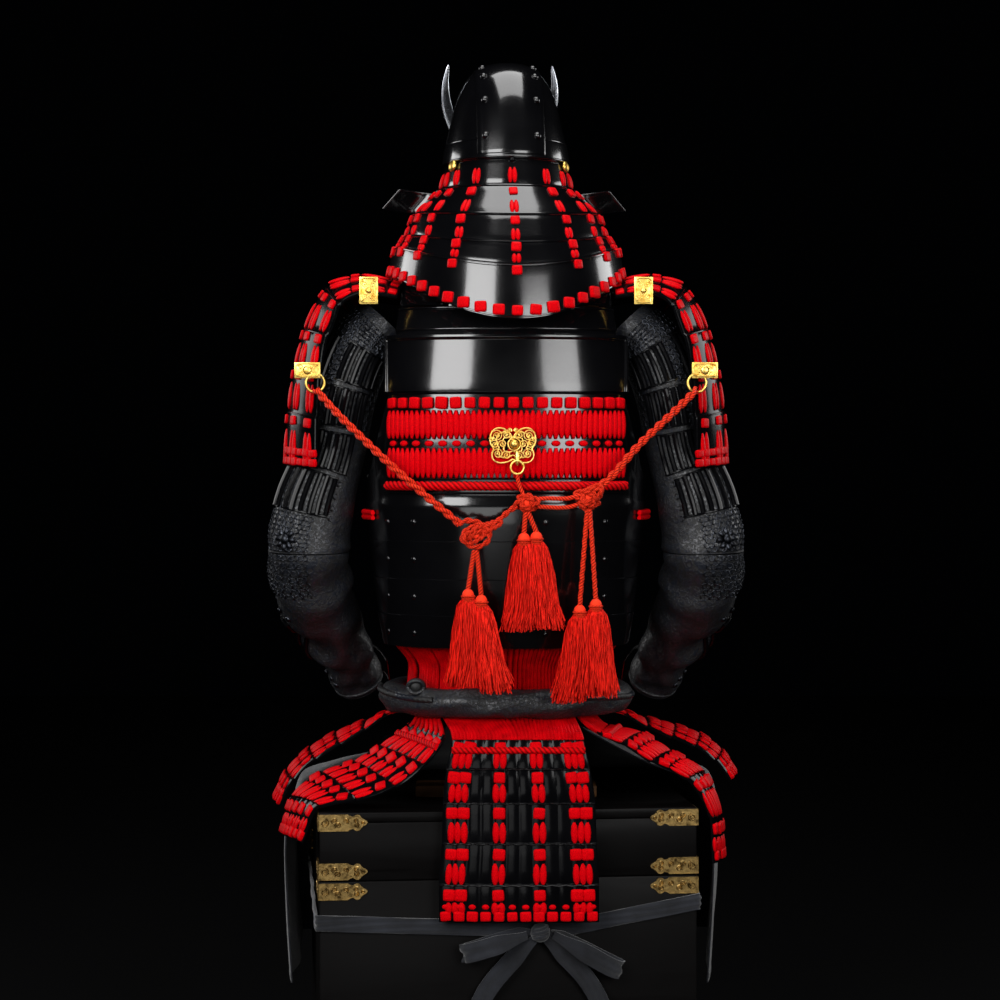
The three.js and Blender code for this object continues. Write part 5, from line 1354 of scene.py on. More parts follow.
def add_peak():
    def surface(u, v):
        turn = np.radians(mix(108, 252, u))
        reach = 1 + 0.3 * v * np.abs(np.cos(turn)) ** 0.7
        x, y = 87 * np.sin(turn) * mix(1, reach, 0.5), -106 * np.cos(turn) * reach
        return on_head(stack(x, y, HELMET["base"] - 0.4 - 24 * v))

    form = shell(Form(), surface, np.linspace(0, 1, 49), np.linspace(0, 1, 13), 2.5, side=-1, bead=0.6)
    edge = np.linspace(0.01, 0.99, 60)
    tube(form, surface(edge, 1 + 0 * edge), round_section(1.8, 8))
    piece("helmet_peak", form, "lacquer", ("helmet_visor",), crease=50)
    row = {key: values[1] for key, values in NECK.items()}

    def flap(u, v):
        turn = math.radians(row["sweep"] + 0.3)
        t = mix(0.05, 0.8, v)
        side = math.sin(turn) ** 2
        top, low = mix(row["top_back"], row["top_side"], side), mix(row["low_back"], row["low_side"], side)
        wide, deep = mix(row["top_a"], row["low_a"], t), mix(row["top_b"], row["low_b"], t)
        root = stack(wide * math.sin(turn), -deep * math.cos(turn), mix(top, low, t))
        away = unit(stack(0.62 + 0.3 * u, 0.5 - 0.75 * u, 0.1 + 0 * u))
        return root + away * (58 * u)[..., None] + [0.4, 0.4, 0]

    for side, name in ((1, "right"), (-1, "left")):
        form = shell(Form(), flap, np.linspace(0, 1, 17), np.linspace(0, 1, 13), 2.5, bead=0.6)
        top, outer = np.linspace(0, 1, 20), np.linspace(0.05, 1, 20)
        border = np.array([(u, 0) for u in top] + [(1, v) for v in outer])
        tube(form, flap(border[:, 0], border[:, 1]), round_section(1.5, 8))
        form = form if side > 0 else form.mirrored()
        form.points = [on_head(np.concatenate(form.points))]
        piece("helmet_turn_back_" + name, form, "lacquer", ("turn_back_" + name,), crease=50)


def add_horns():
    y, z = BOWL["radius"][0] * HELMET["ratio"] + 6, 1434
    form = Form()
    for s in (1, -1):
        path = along_curve([
            (s * 10, y, z), (s * 46, y + 6, z + 18), (s * 74, y + 2, z + 62), (s * 82, y - 8, z + 104),
            (s * 78, y - 14, z + 138)], 60)
        share = np.linspace(0, 1, 60)[:, None]

        def section(turn, run, share=share):
            width = 13 * (1 - share) ** 0.6 + 0.8
            return 3 * (0.4 + 0.6 * (1 - share)) * np.sin(turn), width * np.cos(turn)

        section.sides = 16
        tube(form, path, section, up=(s, 0, -0.2))
    block(form, (34, 6, 40), (0, y, z))
    form.points = [on_head(np.concatenate(form.points))]
    piece("helmet_horns", form, "horn", ("helmet_crest",), bevel=0.8)


# Cuirass


class CuirassSizes(bpy.types.PropertyGroup):
    braids: bpy.props.IntProperty(
        name="Braids", description="Red braids side by side in each wide band",
        default=44, min=8, max=80)
    rivet: bpy.props.FloatProperty(
        name="Rivet", description="Width of the lacquered rivets in the hoops",
        default=0.0085, unit="LENGTH")


class ARMOUR_OT_cuirass(bpy.types.Operator):
    """Makes the riveted hoops, the plates at the shoulders, the straps, the collar and the red lacing"""

    bl_idname = "armour.cuirass"
    bl_label = "Cuirass"

    def execute(self, context):
        sizes = context.scene.armour_cuirass
        add_hoops()
        add_hoop_rivets(sizes.rivet * 1000)
        add_back_plates()
        add_bands(sizes.braids)
        add_side_lacing()
        add_straps()
        return {"FINISHED"}


def half_surface(front):
    """Half of the cuirass: u from one side to the other; v is the height up to the top hoop, then a share."""
    top = CUIRASS["front_top"] if front else CUIRASS["back_top"]
    half = CUIRASS["front_half"] if front else CUIRASS["back_half"]
    last = HOOPS[-1] + 1

    def surface(u, v):
        angle = mix(-90, 90, u)
        x = np.abs(torso(angle, 1000.0)[..., 0])
        side = np.interp(1000, TORSO["z"], TORSO["a"])
        crest = mix(CUIRASS["armhole"], top, smooth((side - x) / (side - half)))
        z = np.where(v <= last, v, mix(last, crest, (v - last) / 1000))
        points = torso(angle, z) - [0, 0.25, 0]
        return points * [-1, -1, 1] if front else points

    return surface


def hoop_lift(u, v):
    k = np.clip(np.searchsorted(HOOPS, v, side="right") - 1, 0, len(HOOPS) - 2)
    low, high = np.array(HOOPS)[k], np.array(HOOPS)[k + 1]
    return np.where(v > HOOPS[-1], 0, 1.8 * (v - low) / (high - low))


def add_hoops():
    us = np.concatenate([np.linspace(0, 0.06, 7), np.linspace(0.07, 0.93, 64), np.linspace(0.94, 1, 7)])
    vs = []
    for low, high in zip(HOOPS, HOOPS[1:]):
        vs += list(np.linspace(low + 0.4, high - 0.4, 8))
    vs += list(HOOPS[-1] + 1 + 1000 * np.linspace(0.02, 1, 22))
    for front, name in ((False, "back"), (True, "front")):
        surface = half_surface(front)
        form = shell(Form(), surface, us, vs, 3, hoop_lift, bead=0.6)
        if front:
            rim = np.linspace(0.01, 0.99, 120)
            line, out, _, _ = skin(surface)(rim, HOOPS[-1] + 1001 + 0 * rim)
            tube(form, line - [0, 0, 1.5], round_section(2.6, 8), up=out)
        piece("cuirass_hoops_" + name, form, "lacquer", ("cuirass_" + name,), crease=35)


def add_hoop_rivets(width):
    places = []
    for front in (False, True):
        at = skin(half_surface(front), hoop_lift)
        for z in (743, 794, 846, 898):
            behind = (-165, -128, 137, 54) if z in (743, 898) else (-165, -128, 137)
            across = [0.5 + torso_angle(x, z) / 180 for x in ((-140, -70, 0, 70, 140) if front else behind)]
            places += places_on(at, across, float(z), (width, width, width * 0.5))
    repeated("hoop_rivets", "dome", places, "lacquer")


def add_back_plates():
    surface = band_surface(165, 1079, 1157)
    edge, tall = 6 / 330, 6 / 78

    def rim(u, v):
        near = np.minimum(np.minimum(u, 1 - u) / edge, (1 - v) / tall)
        return 3 * smooth(2.4 - 2 * near)

    us = np.concatenate([np.linspace(0, 0.03, 12), np.linspace(0.035, 0.965, 60), np.linspace(0.97, 1, 12)])
    vs = np.concatenate([np.linspace(0, 0.85, 12), np.linspace(0.86, 1, 14)])
    form = shell(Form(), surface, us, vs, 3, 5, rim, bead=0.6)
    piece("back_plate_rimmed", form, "lacquer", ("back_plate",), crease=50)

    def yoke(u, v):
        z = mix(1083.8, 1198, v)
        return torso((2 * u - 1) * torso_angle(mix(164, 152, v), z), z)

    form = shell(Form(), yoke, np.linspace(0, 1, 61), np.linspace(0, 1, 15), 3, bead=0.7)
    for v in (0.72, 0.985):
        wire(form, skin(yoke), np.linspace(0.01, 0.99, 80), v, 2.0, 8)
    piece("yoke_plate", form, "lacquer", ("yoke",), crease=50)

    def collar(u, v):
        p = torso((2 * u - 1) * torso_angle(80, 1198), 1198.0 + 0 * u)
        return stack(p[..., 0], p[..., 1] + 2 * v, mix(1198.4, 1224, v))

    form = shell(Form(), collar, np.linspace(0, 1, 41), np.linspace(0, 1, 7), 3, bead=0.6)
    line = collar(np.linspace(0.01, 0.99, 60), np.full(60, 0.97))
    tube(form, line, round_section(2.2, 8))
    piece("collar_plate", form, "lacquer", ("collar",), crease=50)


def add_bands(braids):
    """Rows of red lacing across the back: braids side by side, squares, long diamonds and a laid cord."""
    rows = (
        ("lacing_band_upper", "dome", 1015, 1051, braids, (10.2, 42, 7), 3.4),
        ("lacing_band_lower", "dome", 961, 999, braids, (10.2, 44, 7), 3.4),
        ("lacing_squares", "pad", 1053, 1073, 18, (14.2, 14.2, 7), 3.0),
        ("lacing_diamonds", "dome", 1002, 1012, 18, (13, 8.6, 6), 2.0),
    )
    for name, kind, low, high, count, size, proud in rows:
        at = skin(band_surface(163, low, high), proud)
        row = places_on(at, even(at, count), 0.5, size)
        places = [(point, out, -down, size) for point, out, down, _ in row]
        repeated(name + "_silk", kind, places, "knotted", (name,))
    u = np.linspace(0, 1, 260)
    line, out, _, _ = skin(band_surface(163, 941, 956), 4.4)(u, 0.5 + 0 * u)
    form = tube(Form(), line, twisted_section(6.6, 30, 4, 0.3, 20), up=out)
    piece("lacing_laid_cord", form, "laid", ("lacing_twist",), crease=80)
    form = Form()
    for z in (958.5, 938.5, 1076.5):
        wire(form, skin(band_surface(163, z - 1, z + 1), 1.0), u[::2], 0.5, 1.6, 8)
    piece("lacing_border_wires", form, "worn_lacquer")


def add_side_lacing():
    form = Form()
    t = np.linspace(0, 1, 90)
    for z in (903.0, 910.0):
        line = torso(mix(64, 116, t), z + 0 * t, 5.0)
        tube(form, line, twisted_section(3.6, 15, 3, 0.24, 16), up=unit(line * [1, 1, 0]))
    piece("side_cord_right", form, "laid", ("side_lacing_right",), crease=80)
    piece("side_cord_left", form.mirrored(), "laid", ("side_lacing_left",), crease=80)


def strap_surface(u, v):
    x = mix(88, 150, u)
    follow = (1 - (x / mix(168.5, 190, v)) ** SECTION_POWER) ** (1 / SECTION_POWER)
    return stack(x, column(STRAP["y"], v) * follow, column(STRAP["z"], v) - 3 * (2 * u - 1) ** 2)


def add_straps():
    form = shell(Form(), strap_surface, np.linspace(0, 1, 17), np.linspace(0, 1, 61), 4, bead=0.7)
    for u in (0.03, 0.97):
        wire(form, skin(strap_surface), u, np.linspace(0.01, 0.99, 80), 1.8, 8)
    piece("strap_plate_right", form, "lacquer", ("strap_right",), crease=50)
    piece("strap_plate_left", form.mirrored(), "lacquer", ("strap_left",), crease=50)


# Shoulder guards


class GuardSizes(bpy.types.PropertyGroup):
    bar: bpy.props.FloatProperty(
        name="Lacing bar", description="Width of one red lacing bar", default=0.0082, unit="LENGTH")


class ARMOUR_OT_guards(bpy.types.Operator):
    """Makes the laced shoulder guards and their gilt clasps"""

    bl_idname = "armour.guards"
    bl_label = "Shoulder guards"

    def execute(self, context):
        bar = context.scene.armour_guards.bar * 1000
        for side, name in ((1, "left"), (-1, "right")):
            add_guard(side, name, bar)
            add_clasps(side, name)
        return {"FINISHED"}


def lame_rows(start, end, count, fine=6, gap=0.006):
    """Grid values with a step between lames."""
    rows = []
    for k in range(count):
        low, high = mix(start, end, k / count), mix(start, end, (k + 1) / count)
        rows += list(np.linspace(low + (gap if k else 0), high - (gap if k + 1 < count else 0), fine))
    return rows


def guard_lift(u, v):
    return lame_lean(v, 0, GUARD_LAMES)


def flip_marks(marks, side):
    turn = np.array([side, 1, 1])
    return [(p * turn, o * turn, a * turn, s) for p, o, a, s in marks]


def add_guard(side, name, bar):
    rows = lame_rows(0, 1, GUARD_LAMES, 6)
    form = shell(Form(), guard_surface, np.linspace(0, 1, 33), rows, 3.6, guard_lift, bead=0.6)
    at = skin(guard_surface, guard_lift)
    for u in (0.012, 0.988):
        wire(form, at, u, np.linspace(0.005, 0.995, 120), 1.5, 6)
    for k in range(GUARD_LAMES):
        wire(form, at, np.linspace(0.01, 0.99, 50), (k + 0.03) / GUARD_LAMES, 1.3, 6)
    form = form if side > 0 else form.mirrored()
    piece("guard_lames_" + name, form, "worn_lacquer", ("shoulder_guard_" + name,), crease=35)
    marks = {"pad": [], "dome": []}
    for k in range(GUARD_LAMES):
        top, tall = k / GUARD_LAMES, 1 / GUARD_LAMES
        for u in (0.075, 0.24, 0.42, 0.6, 0.78, 0.93):
            rows = (top + 0.17 * tall, top + 0.32 * tall, top + 0.99 * tall)
            lace_column(marks, at, u, rows, 2, 13, bar)
    for row in (0.955, 0.984):
        marks["pad"] += places_on(at, even(at, 15, row), row, (12, 10, 5.5))
    lacing_pieces("guard_lacing_" + name, marks, side)


def add_clasps(side, name):
    """Gilt fittings on the rear edge, with a chased rim, a boss and the ring that the cord ties to."""
    upper, lower = Form(), Form()
    block(upper, (26, 8, 38), (-193, -81.1, 1222))
    block(lower, (36, 8, 22), (-279, -81.3, 1110))
    face = -85.2
    for form, wide, tall, x, z in ((upper, 22, 34, -193, 1222), (lower, 32, 18, -279, 1110)):
        turn = turns(48)
        rim_x, rim_z = wide / 2 * signed_power(np.cos(turn), 0.4), tall / 2 * signed_power(np.sin(turn), 0.4)
        rim = stack(x + rim_x, face - 0.1, z + rim_z)
        tube(form, rim, round_section(1.1, 8), ring=True, up=ALONG_Y)
        ball(form, (wide * 0.2, 2.4, wide * 0.2), (x, face, z), 16, 8)
        for s in (-1, 1):
            for t in (-1, 1):
                ball(form, (1.7, 1.4, 1.7), (x + s * wide * 0.38, face, z + t * tall * 0.38), 10, 6)
                share = np.linspace(0, 1, 26)
                curl, reach = 9 * share * s * t, min(wide, tall) * 0.2 * (1 - 0.8 * share)
                across, upward = x + s * wide * 0.26, z + t * tall * 0.26
                line = stack(across + reach * np.cos(curl), face, upward + reach * np.sin(curl))
                tube(form, line, round_section(0.9, 6), up=ALONG_Y)
    hoop(lower, (-268, -83.5, 1092), 13, 1.9, 10, 48)
    for form, label in ((upper, "upper"), (lower, "lower")):
        form = form if side > 0 else form.mirrored()
        solid = "clasp_%s_%s" % (label, name)
        piece("clasp_%s_chased_%s" % (label, name), form, "gilt", (solid,), bevel=0.7)


# Sleeves


class SleeveSizes(bpy.types.PropertyGroup):
    splint: bpy.props.FloatProperty(
        name="Splint", description="Width of one iron splint on the sleeve",
        default=0.0086, unit="LENGTH")
    ring: bpy.props.FloatProperty(
        name="Mail ring", description="Width of one ring of the mail, drawn large enough to show",
        default=0.0075, unit="LENGTH")


class ARMOUR_OT_sleeves(bpy.types.Operator):
    """Makes the brocade sleeves with splints and mail, and the plates over the hands"""

    bl_idname = "armour.sleeves"
    bl_label = "Sleeves"

    def execute(self, context):
        sizes = context.scene.armour_sleeves
        for side, name in ((1, "left"), (-1, "right")):
            add_sleeve(side, name)
            add_splints(side, name, sizes.splint * 1000)
            add_mail(side, name, sizes.ring * 1000)
            add_hand_guard(side, name)
        return {"FINISHED"}


def sleeve_creases(u, v):
    """Uneven soft folds over the sleeve's own: long slanting ones, and short ones that bunch at the elbow."""
    turn = 2 * math.pi * u
    long = np.sin(3 * turn + 9 * v) * np.sin(math.pi * v)
    bunch = 2.4 * np.exp(-(((v - 0.56) / 0.1) ** 2)) * np.sin(58 * v + 2.2 * np.sin(turn + 0.7))
    sway = 2.6 * np.sin(turn - 1) + 1.3 * np.sin(3 * turn + 19 * v)
    slant = 1.8 * smooth((v - 0.55) / 0.1) * np.sin(37 * v + sway)
    low = 1.6 * np.exp(-(((v - 0.86) / 0.1) ** 2)) * np.sin(52 * v + 1.9 * np.sin(2 * turn))
    return 1.8 * long + 1.4 * bunch + 2.1 * (slant + low)


def add_sleeve(side, name):
    def fold(u, v):
        at_ends = smooth(np.abs(v - 0.5) / 0.02) * smooth(v / 0.05) * smooth((1 - v) / 0.05)
        return sleeve_creases(u, v) * at_ends

    for part_name, start, end in (("upper", 0, 0.4991), ("forearm", 0.5009, 1)):
        rows = np.linspace(start, end, 62)
        form = shell(Form(), sleeve_surface, np.linspace(0, 1, 65), rows, 2.5, fold, ring=True)
        if part_name == "forearm":
            u = np.linspace(0, 1, 48, endpoint=False)
            tube(form, sleeve_surface(u, 0.985 + 0 * u), round_section(2.4, 8), ring=True)
        form = form if side > 0 else form.mirrored()
        label = "%s_%s" % (part_name, name)
        made = piece("sleeve_cloth_" + label, form, "brocade", ("sleeve_" + label,), crease=70)


# Groups of splints: start and end along the arm, first and last place round it, and how many
SPLINTS = (
    (0.1, 0.178, 0.615, 0.79, 6), (0.19, 0.257, 0.635, 0.8, 6), (0.27, 0.337, 0.66, 0.81, 5),
    (0.347, 0.41, 0.69, 0.87, 6), (0.1, 0.25, 0.88, 1.2, 8), (0.27, 0.41, 0.92, 1.2, 7),
    (0.64, 0.84, 0.95, 1.24, 7),
)


def add_splints(side, name, width):
    """Iron splints laid along the arm in groups, each splint arched, and round bosses at the elbow."""
    at = skin(sleeve_surface, sleeve_creases)
    form = Form()
    for start, end, first, last, count in SPLINTS:
        for k in range(count):
            u = mix(first, last, k / (count - 1))
            wire(form, at, u % 1, np.linspace(start, end, 11), 0.45 * width, 8, 1.6)
        for v in (start, end):
            wire(form, at, np.linspace(first - 0.012, last + 0.012, 18) % 1, v, 1.7, 6, 3.2)
    form = form if side > 0 else form.mirrored()
    piece("sleeve_splints_" + name, form, "worn_lacquer", crease=35)
    point, out, down, across = at(0.83, 0.472)
    places = [(point + out * 2, out, down, (15, 15, 9))]
    for turn in turns(8):
        petal = unit(down) * math.cos(turn) + unit(across) * math.sin(turn)
        places.append((point + out * 1.4 + petal * 11, out, petal, (8.4, 12, 5)))
    for v, wide in ((0.93, 9), (0.62, 10)):
        places += places_on(at, np.linspace(0.9, 1.2, 5) % 1, v, (wide, wide, 6), 1.2)
    repeated("sleeve_bosses_" + name, "dome", flip_marks(places, side), "mail")


def add_mail(side, name, ring):
    """Mail round the groups of splints: rows of round rings that overlap, turned a little either way."""
    at = skin(sleeve_surface, sleeve_creases)
    places = []
    rows = np.concatenate([np.arange(0.04, 0.497, 0.0098), np.arange(0.505, 0.57, 0.0098)])
    for r, v in enumerate(rows):
        for k in range(38):
            u = mix(0.56, 1.24, (k + 0.5 * (r % 2)) / 38)
            if any(a - 0.006 < v < b + 0.006 and c - 0.015 < u < d + 0.015 for a, b, c, d, _ in SPLINTS):
                continue
            if v > 0.26 and u < 0.66 or v > 0.42 and not 0.74 < u < 1.1:
                continue
            point, out, down, across = at(u % 1, v)
            tilt = 0.45 if (k + r) % 2 else -0.45
            places.append((point + out * 0.9, out + unit(across) * tilt, down, (ring, ring, ring)))
    repeated("sleeve_mail_" + name, "ring", flip_marks(places, side), "mail")


def add_hand_guard(side, name):
    def surface(u, v):
        turn = np.radians(mix(-75, 75, u))
        r = mix(42, 34, v) + 4
        x = SLEEVE["x"][-1] - r * np.sin(turn) * 0.9
        return stack(x + 8 * v, 176 + 62 * v, 648 + r * np.cos(turn) * 0.8 + 20.6 - 34 * v)

    form = shell(Form(), surface, np.linspace(0, 1, 33), np.linspace(0, 1, 17), 2.5, bead=0.6)
    rim = np.linspace(0.02, 0.98, 40)
    for v in (0.03, 0.97):
        tube(form, surface(rim, v + 0 * rim), round_section(1.5, 8))
    ball(form, (9, 9, 4), surface(np.array(0.5), np.array(0.45)))
    form = form if side > 0 else form.mirrored()
    piece("hand_plate_" + name, form, "lacquer", ("hand_guard_" + name,), crease=50)


# Belt and skirt


class SkirtSizes(bpy.types.PropertyGroup):
    scale: bpy.props.FloatProperty(
        name="Scale", description="Width of one scale of the laced lames", default=0.0172, unit="LENGTH")
    lace: bpy.props.FloatProperty(
        name="Lace", description="Width of one hanging lace over the hips",
        default=0.0058, unit="LENGTH")


class ARMOUR_OT_skirt(bpy.types.Operator):
    """Makes the belt, the hanging red laces and the seven laced panels"""

    bl_idname = "armour.skirt"
    bl_label = "Belt and skirt"

    def execute(self, context):
        sizes = context.scene.armour_skirt
        add_belt()
        for panel in SKIRT:
            add_panel(panel, sizes.scale * 1000, sizes.lace * 1000)
        return {"FINISHED"}


def add_belt():
    """Rolled brocade, with soft slanting creases, a laid cord over it and a round knot at each side."""

    def roll(turn, s):
        r = BELT["radius"] + 0.9 * np.sin(5 * turn + s * 0.05) + 0.8 * np.sin(s * 0.083 + 2 * turn)
        return r * np.cos(turn), r * np.sin(turn)

    roll.sides = 28
    t = np.linspace(0, 360, 220, endpoint=False)
    path = belt_point(t, 0.0, BELT["z"] + 0 * t)
    form = tube(Form(), path, roll, ring=True)
    piece("belt_roll", form, "brocade", ("belt",), crease=80)
    form = Form()
    for low, high, drop in ((-95, -32, 0), (32, 96, 3)):
        t = np.linspace(low, high, 90)
        path = belt_point(t, 18.5, BELT["z"] + 8 - drop + 3 * np.sin(np.radians(3 * t)))
        tube(form, path, twisted_section(4.6, 24, 3, 0.24, 18))
    for t, z in ((-44, 668), (50, 668)):
        centre = belt_point(np.array(float(t)), 12.0, np.array(float(z)))
        ball(form, (10, 8, 10), centre)
        turn = turns(40)
        for tilt in (0.5, -0.5):
            rise = 9 * np.sin(turn) * math.copysign(1, tilt)
            ring = centre + stack(11 * np.cos(turn), -3 + 5 * np.sin(turn) * math.cos(tilt), rise)
            tube(form, ring, round_section(3, 8), ring=True, up=ALONG_Y)
    piece("belt_cord_and_knots", form, "brocade", crease=80)


def add_panel(panel, scale, lace):
    surface, lift, side = skirt_surface(panel), skirt_lift(panel), panel["side"]
    at = skin(surface, lift, side)
    name = panel["name"]
    width = np.linalg.norm(surface(np.array(1.0), np.array(0.8)) - surface(np.array(0.0), np.array(0.8)))
    scales = max(3, round(float(width) / scale))

    def scaled(u, v):
        place = (v - SKIRT_START) / (1 - SKIRT_START) * LAMES
        share = place - np.floor(place)
        ridge = 1.1 * np.abs(np.sin(math.pi * scales * u)) ** 0.5
        return ridge * smooth((0.97 - share) / 0.1) * smooth(share / 0.05)

    vs = lame_rows(SKIRT_START, 1, LAMES, 7, 0.002)
    us = np.linspace(0, 1, 8 * scales + 1)
    form = shell(Form(), surface, us, vs, 3.6, lift, scaled, side=side, bead=0.5)
    for k in range(1, LAMES):
        v = SKIRT_START + (1 - SKIRT_START) * (k + 0.02) / LAMES
        u = np.linspace(0.005, 0.995, 8 * scales)
        line, out, down, _ = at(u, v + 0 * u)
        line = line + out * 0.6 + unit(down) * (1.6 * np.abs(((u * scales) % 1) - 0.5) * 2)[:, None]
        tube(form, line, round_section(1.1, 4), up=out)
    laced = Form()
    span = np.linalg.norm(surface(np.array(1.0), np.array(0.2)) - surface(np.array(0.0), np.array(0.2)))
    count = max(5, int(span / (lace * 0.86)))
    v = np.linspace(0.0, SKIRT_START + 0.012, 24)
    for k in range(count):
        line, out, _, _ = at((k + 0.5) / count + 0 * v, v)
        tube(laced, line - out * 0.6, flat_section(lace, 3.0), up=out)
    rows = np.linspace(0, SKIRT_START + 0.01, 12)
    shell(laced, surface, np.linspace(0, 1, 13), rows, 1.2, lambda u, v: lift(u, v) - 2.2, side=side)
    piece(name + "_lames", form, "worn_lacquer", (name,), crease=35)
    v_row = SKIRT_START + (1 - SKIRT_START) * 0.09
    u = np.linspace(0.01, 0.99, 120)
    line, out, _, _ = at(u, v_row + 0 * u)
    twist = tube(Form(), line + out * 1.6, twisted_section(5.2, 20, 3, 0.3, 16), up=out)
    piece(name + "_twist", twist, "laid", crease=80)
    piece(name + "_laces", laced, "lacing", crease=80)
    marks = {"pad": [], "dome": []}
    for k in range(LAMES):
        tall = (1 - SKIRT_START) / LAMES
        top = SKIRT_START + tall * k
        knots, foot = 0.28 if k else 0.36, 1.05 if k < LAMES - 1 else 0.8
        rows = (top + knots * tall, top + 0.44 * tall, top + foot * tall)
        for i, centre in enumerate(panel["laces"]):
            bars = 3 if i in (0, 3) and len(panel["laces"]) == 4 else 2
            lace_column(marks, at, centre, rows, bars, 15.5, 9)
    for row, kind, size in ((0.982, "pad", (14, 12.5, 6)), (0.954, "dome", (11, 8, 6))):
        marks[kind] += places_on(at, even(at, round(width / 17.8), row), row, size)
    lacing_pieces(name + "_lacing", marks)


# Thigh aprons, chest and sash


class ChestSizes(bpy.types.PropertyGroup):
    brass: bpy.props.FloatProperty(
        name="Fitting length", description="How far the brass fittings reach from each corner",
        default=0.066, unit="LENGTH")
    edge: bpy.props.FloatProperty(
        name="Edge", description="Rounding of the chest's edges", default=0.0022, unit="LENGTH")


class ARMOUR_OT_chest(bpy.types.Operator):
    """Makes the storage chest with its fittings, the stand, the thigh aprons and the grey sash"""

    bl_idname = "armour.chest"
    bl_label = "Chest, aprons and sash"

    def execute(self, context):
        sizes = context.scene.armour_chest
        add_chest(sizes.edge * 1000)
        add_fittings(sizes.brass * 1000)
        add_stand()
        add_aprons()
        add_sash()
        return {"FINISHED"}


def add_chest(edge):
    low = CHEST["height"] - CHEST["lid"]
    body, lid = Form(), Form()
    wide, deep, board, floor, seam = CHEST["width"], CHEST["depth"], 14, 16, 0.4
    block(body, (wide, deep, floor), (0, 0, floor / 2), on_chest)
    for form, tall, start in ((body, low - seam - floor, floor), (lid, CHEST["lid"] - board, low)):
        middle = start + tall / 2
        for s in (-1, 1):
            block(form, (wide, board, tall), (0, s * (deep - board) / 2, middle), on_chest)
            block(form, (board, deep - 2 * board, tall), (s * (wide - board) / 2, 0, middle), on_chest)
    block(lid, (wide, deep, board), (0, 0, CHEST["height"] - board / 2), on_chest)
    piece("chest_boards", body, "chest_wood", ("chest_body",), bevel=edge)
    piece("chest_lid_boards", lid, "chest_wood", ("chest_lid",), bevel=edge)


def fitting_outline(reach, tall):
    """Outline of a fitting, from the corner inwards, with a narrow neck and a three-lobed tip."""
    half = tall / 2
    low = [(0, -half), (reach - 25, -half), (reach - 22, -half * 0.82), (reach - 19, -half * 0.74)]
    for turn in np.radians(np.linspace(200, 345, 9)):
        low.append((reach - 12 + 5.6 * math.cos(turn), -half * 0.5 + 5.4 * math.sin(turn)))
    for turn in np.radians(np.linspace(-80, 0, 6)):
        low.append((reach - 3 + 5 * math.cos(turn) ** 1.5, 4.4 * math.sin(turn)))
    return np.array(low + [(x, -y) for x, y in low[::-1][1:]])


def add_fittings(reach):
    """Brass straps round every corner, each face a plate with a chased border and low scrolls."""
    form = Form()
    low = CHEST["height"] - CHEST["lid"]
    wide, deep = CHEST["width"], CHEST["depth"]
    tall, clear = 23, 2
    below, above = clear + tall / 2, low + clear + tall / 2
    for z in (low - 0.4 - clear - tall / 2, above, CHEST["height"] - below, below):
        for sx in (-1, 1):
            for sy in (-1, 1):
                for on_back in (True, False):
                    plate(form, reach, tall, z, sx, sy, wide, deep, on_back)
    piece("chest_fittings", form, "brass", crease=35)


def plate(form, reach, tall, z, sx, sy, wide, deep, on_back):
    """One face of a corner fitting: its outline in low relief, with a raised border and a scroll."""
    outline = fitting_outline(reach, tall)
    proud = 2.1
    if on_back:
        def place(x, y, lift):
            return stack(sx * (wide / 2 + proud - x), sy * (deep / 2 + lift), z + y)
    else:
        def place(x, y, lift):
            return stack(sx * (wide / 2 + lift), sy * (deep / 2 + proud - x), z + y)
    flip = (sx * sy < 0) != on_back
    count = len(outline)
    middle = np.array([reach * 0.45, 0.0])
    inset = middle + (outline - middle) * [0.94, 0.9]
    rings = [(outline, -1.0), (outline, proud), (inset, proud), (inset, proud - 0.6)]
    points = np.concatenate([place(r[:, 0], r[:, 1], lift) for r, lift in rings] + [
        place(middle[:1], middle[1:], proud - 0.6), place(middle[:1], middle[1:], -1.0)])
    faces, _, _ = grid_faces(count, len(rings), ring_u=True, flip=flip)
    a = np.arange(count)
    top, under = np.full(count, count * 4), np.full(count, count * 4 + 1)
    none = np.full(count, -1)
    lid = np.stack([top, count * 3 + a, count * 3 + (a + 1) % count, none], -1)
    base = np.stack([under, (a + 1) % count, a, none], -1)
    caps = np.vstack([lid, base])
    form.add(points, np.vstack([faces, caps if flip else caps[:, [0, 2, 1, 3]]]))
    form.points[-1] = on_chest(form.points[-1])
    out = (0, 1, 0.01) if on_back else (1, 0, 0.01)
    for cx, cy, size, s in (
        (0.14, 0, 6, -1), (0.34, 3.4, 4.6, 1), (0.42, -3.4, 4.6, -1), (0.58, 2.6, 4.4, 1), (0.8, -3, 4, -1),
        (0.8, 3, 4, 1), (0.94, 0, 2.6, 1),
    ):
        t = np.linspace(0, 1, 13)
        turn = s * (3.2 * math.pi * t) + cx * 9
        radius = size * (1 - 0.8 * t)
        line = place(cx * reach + radius * np.cos(turn), cy + radius * np.sin(turn), proud - 0.1)
        tube(form, on_chest(line), round_section(0.9, 4), up=out)


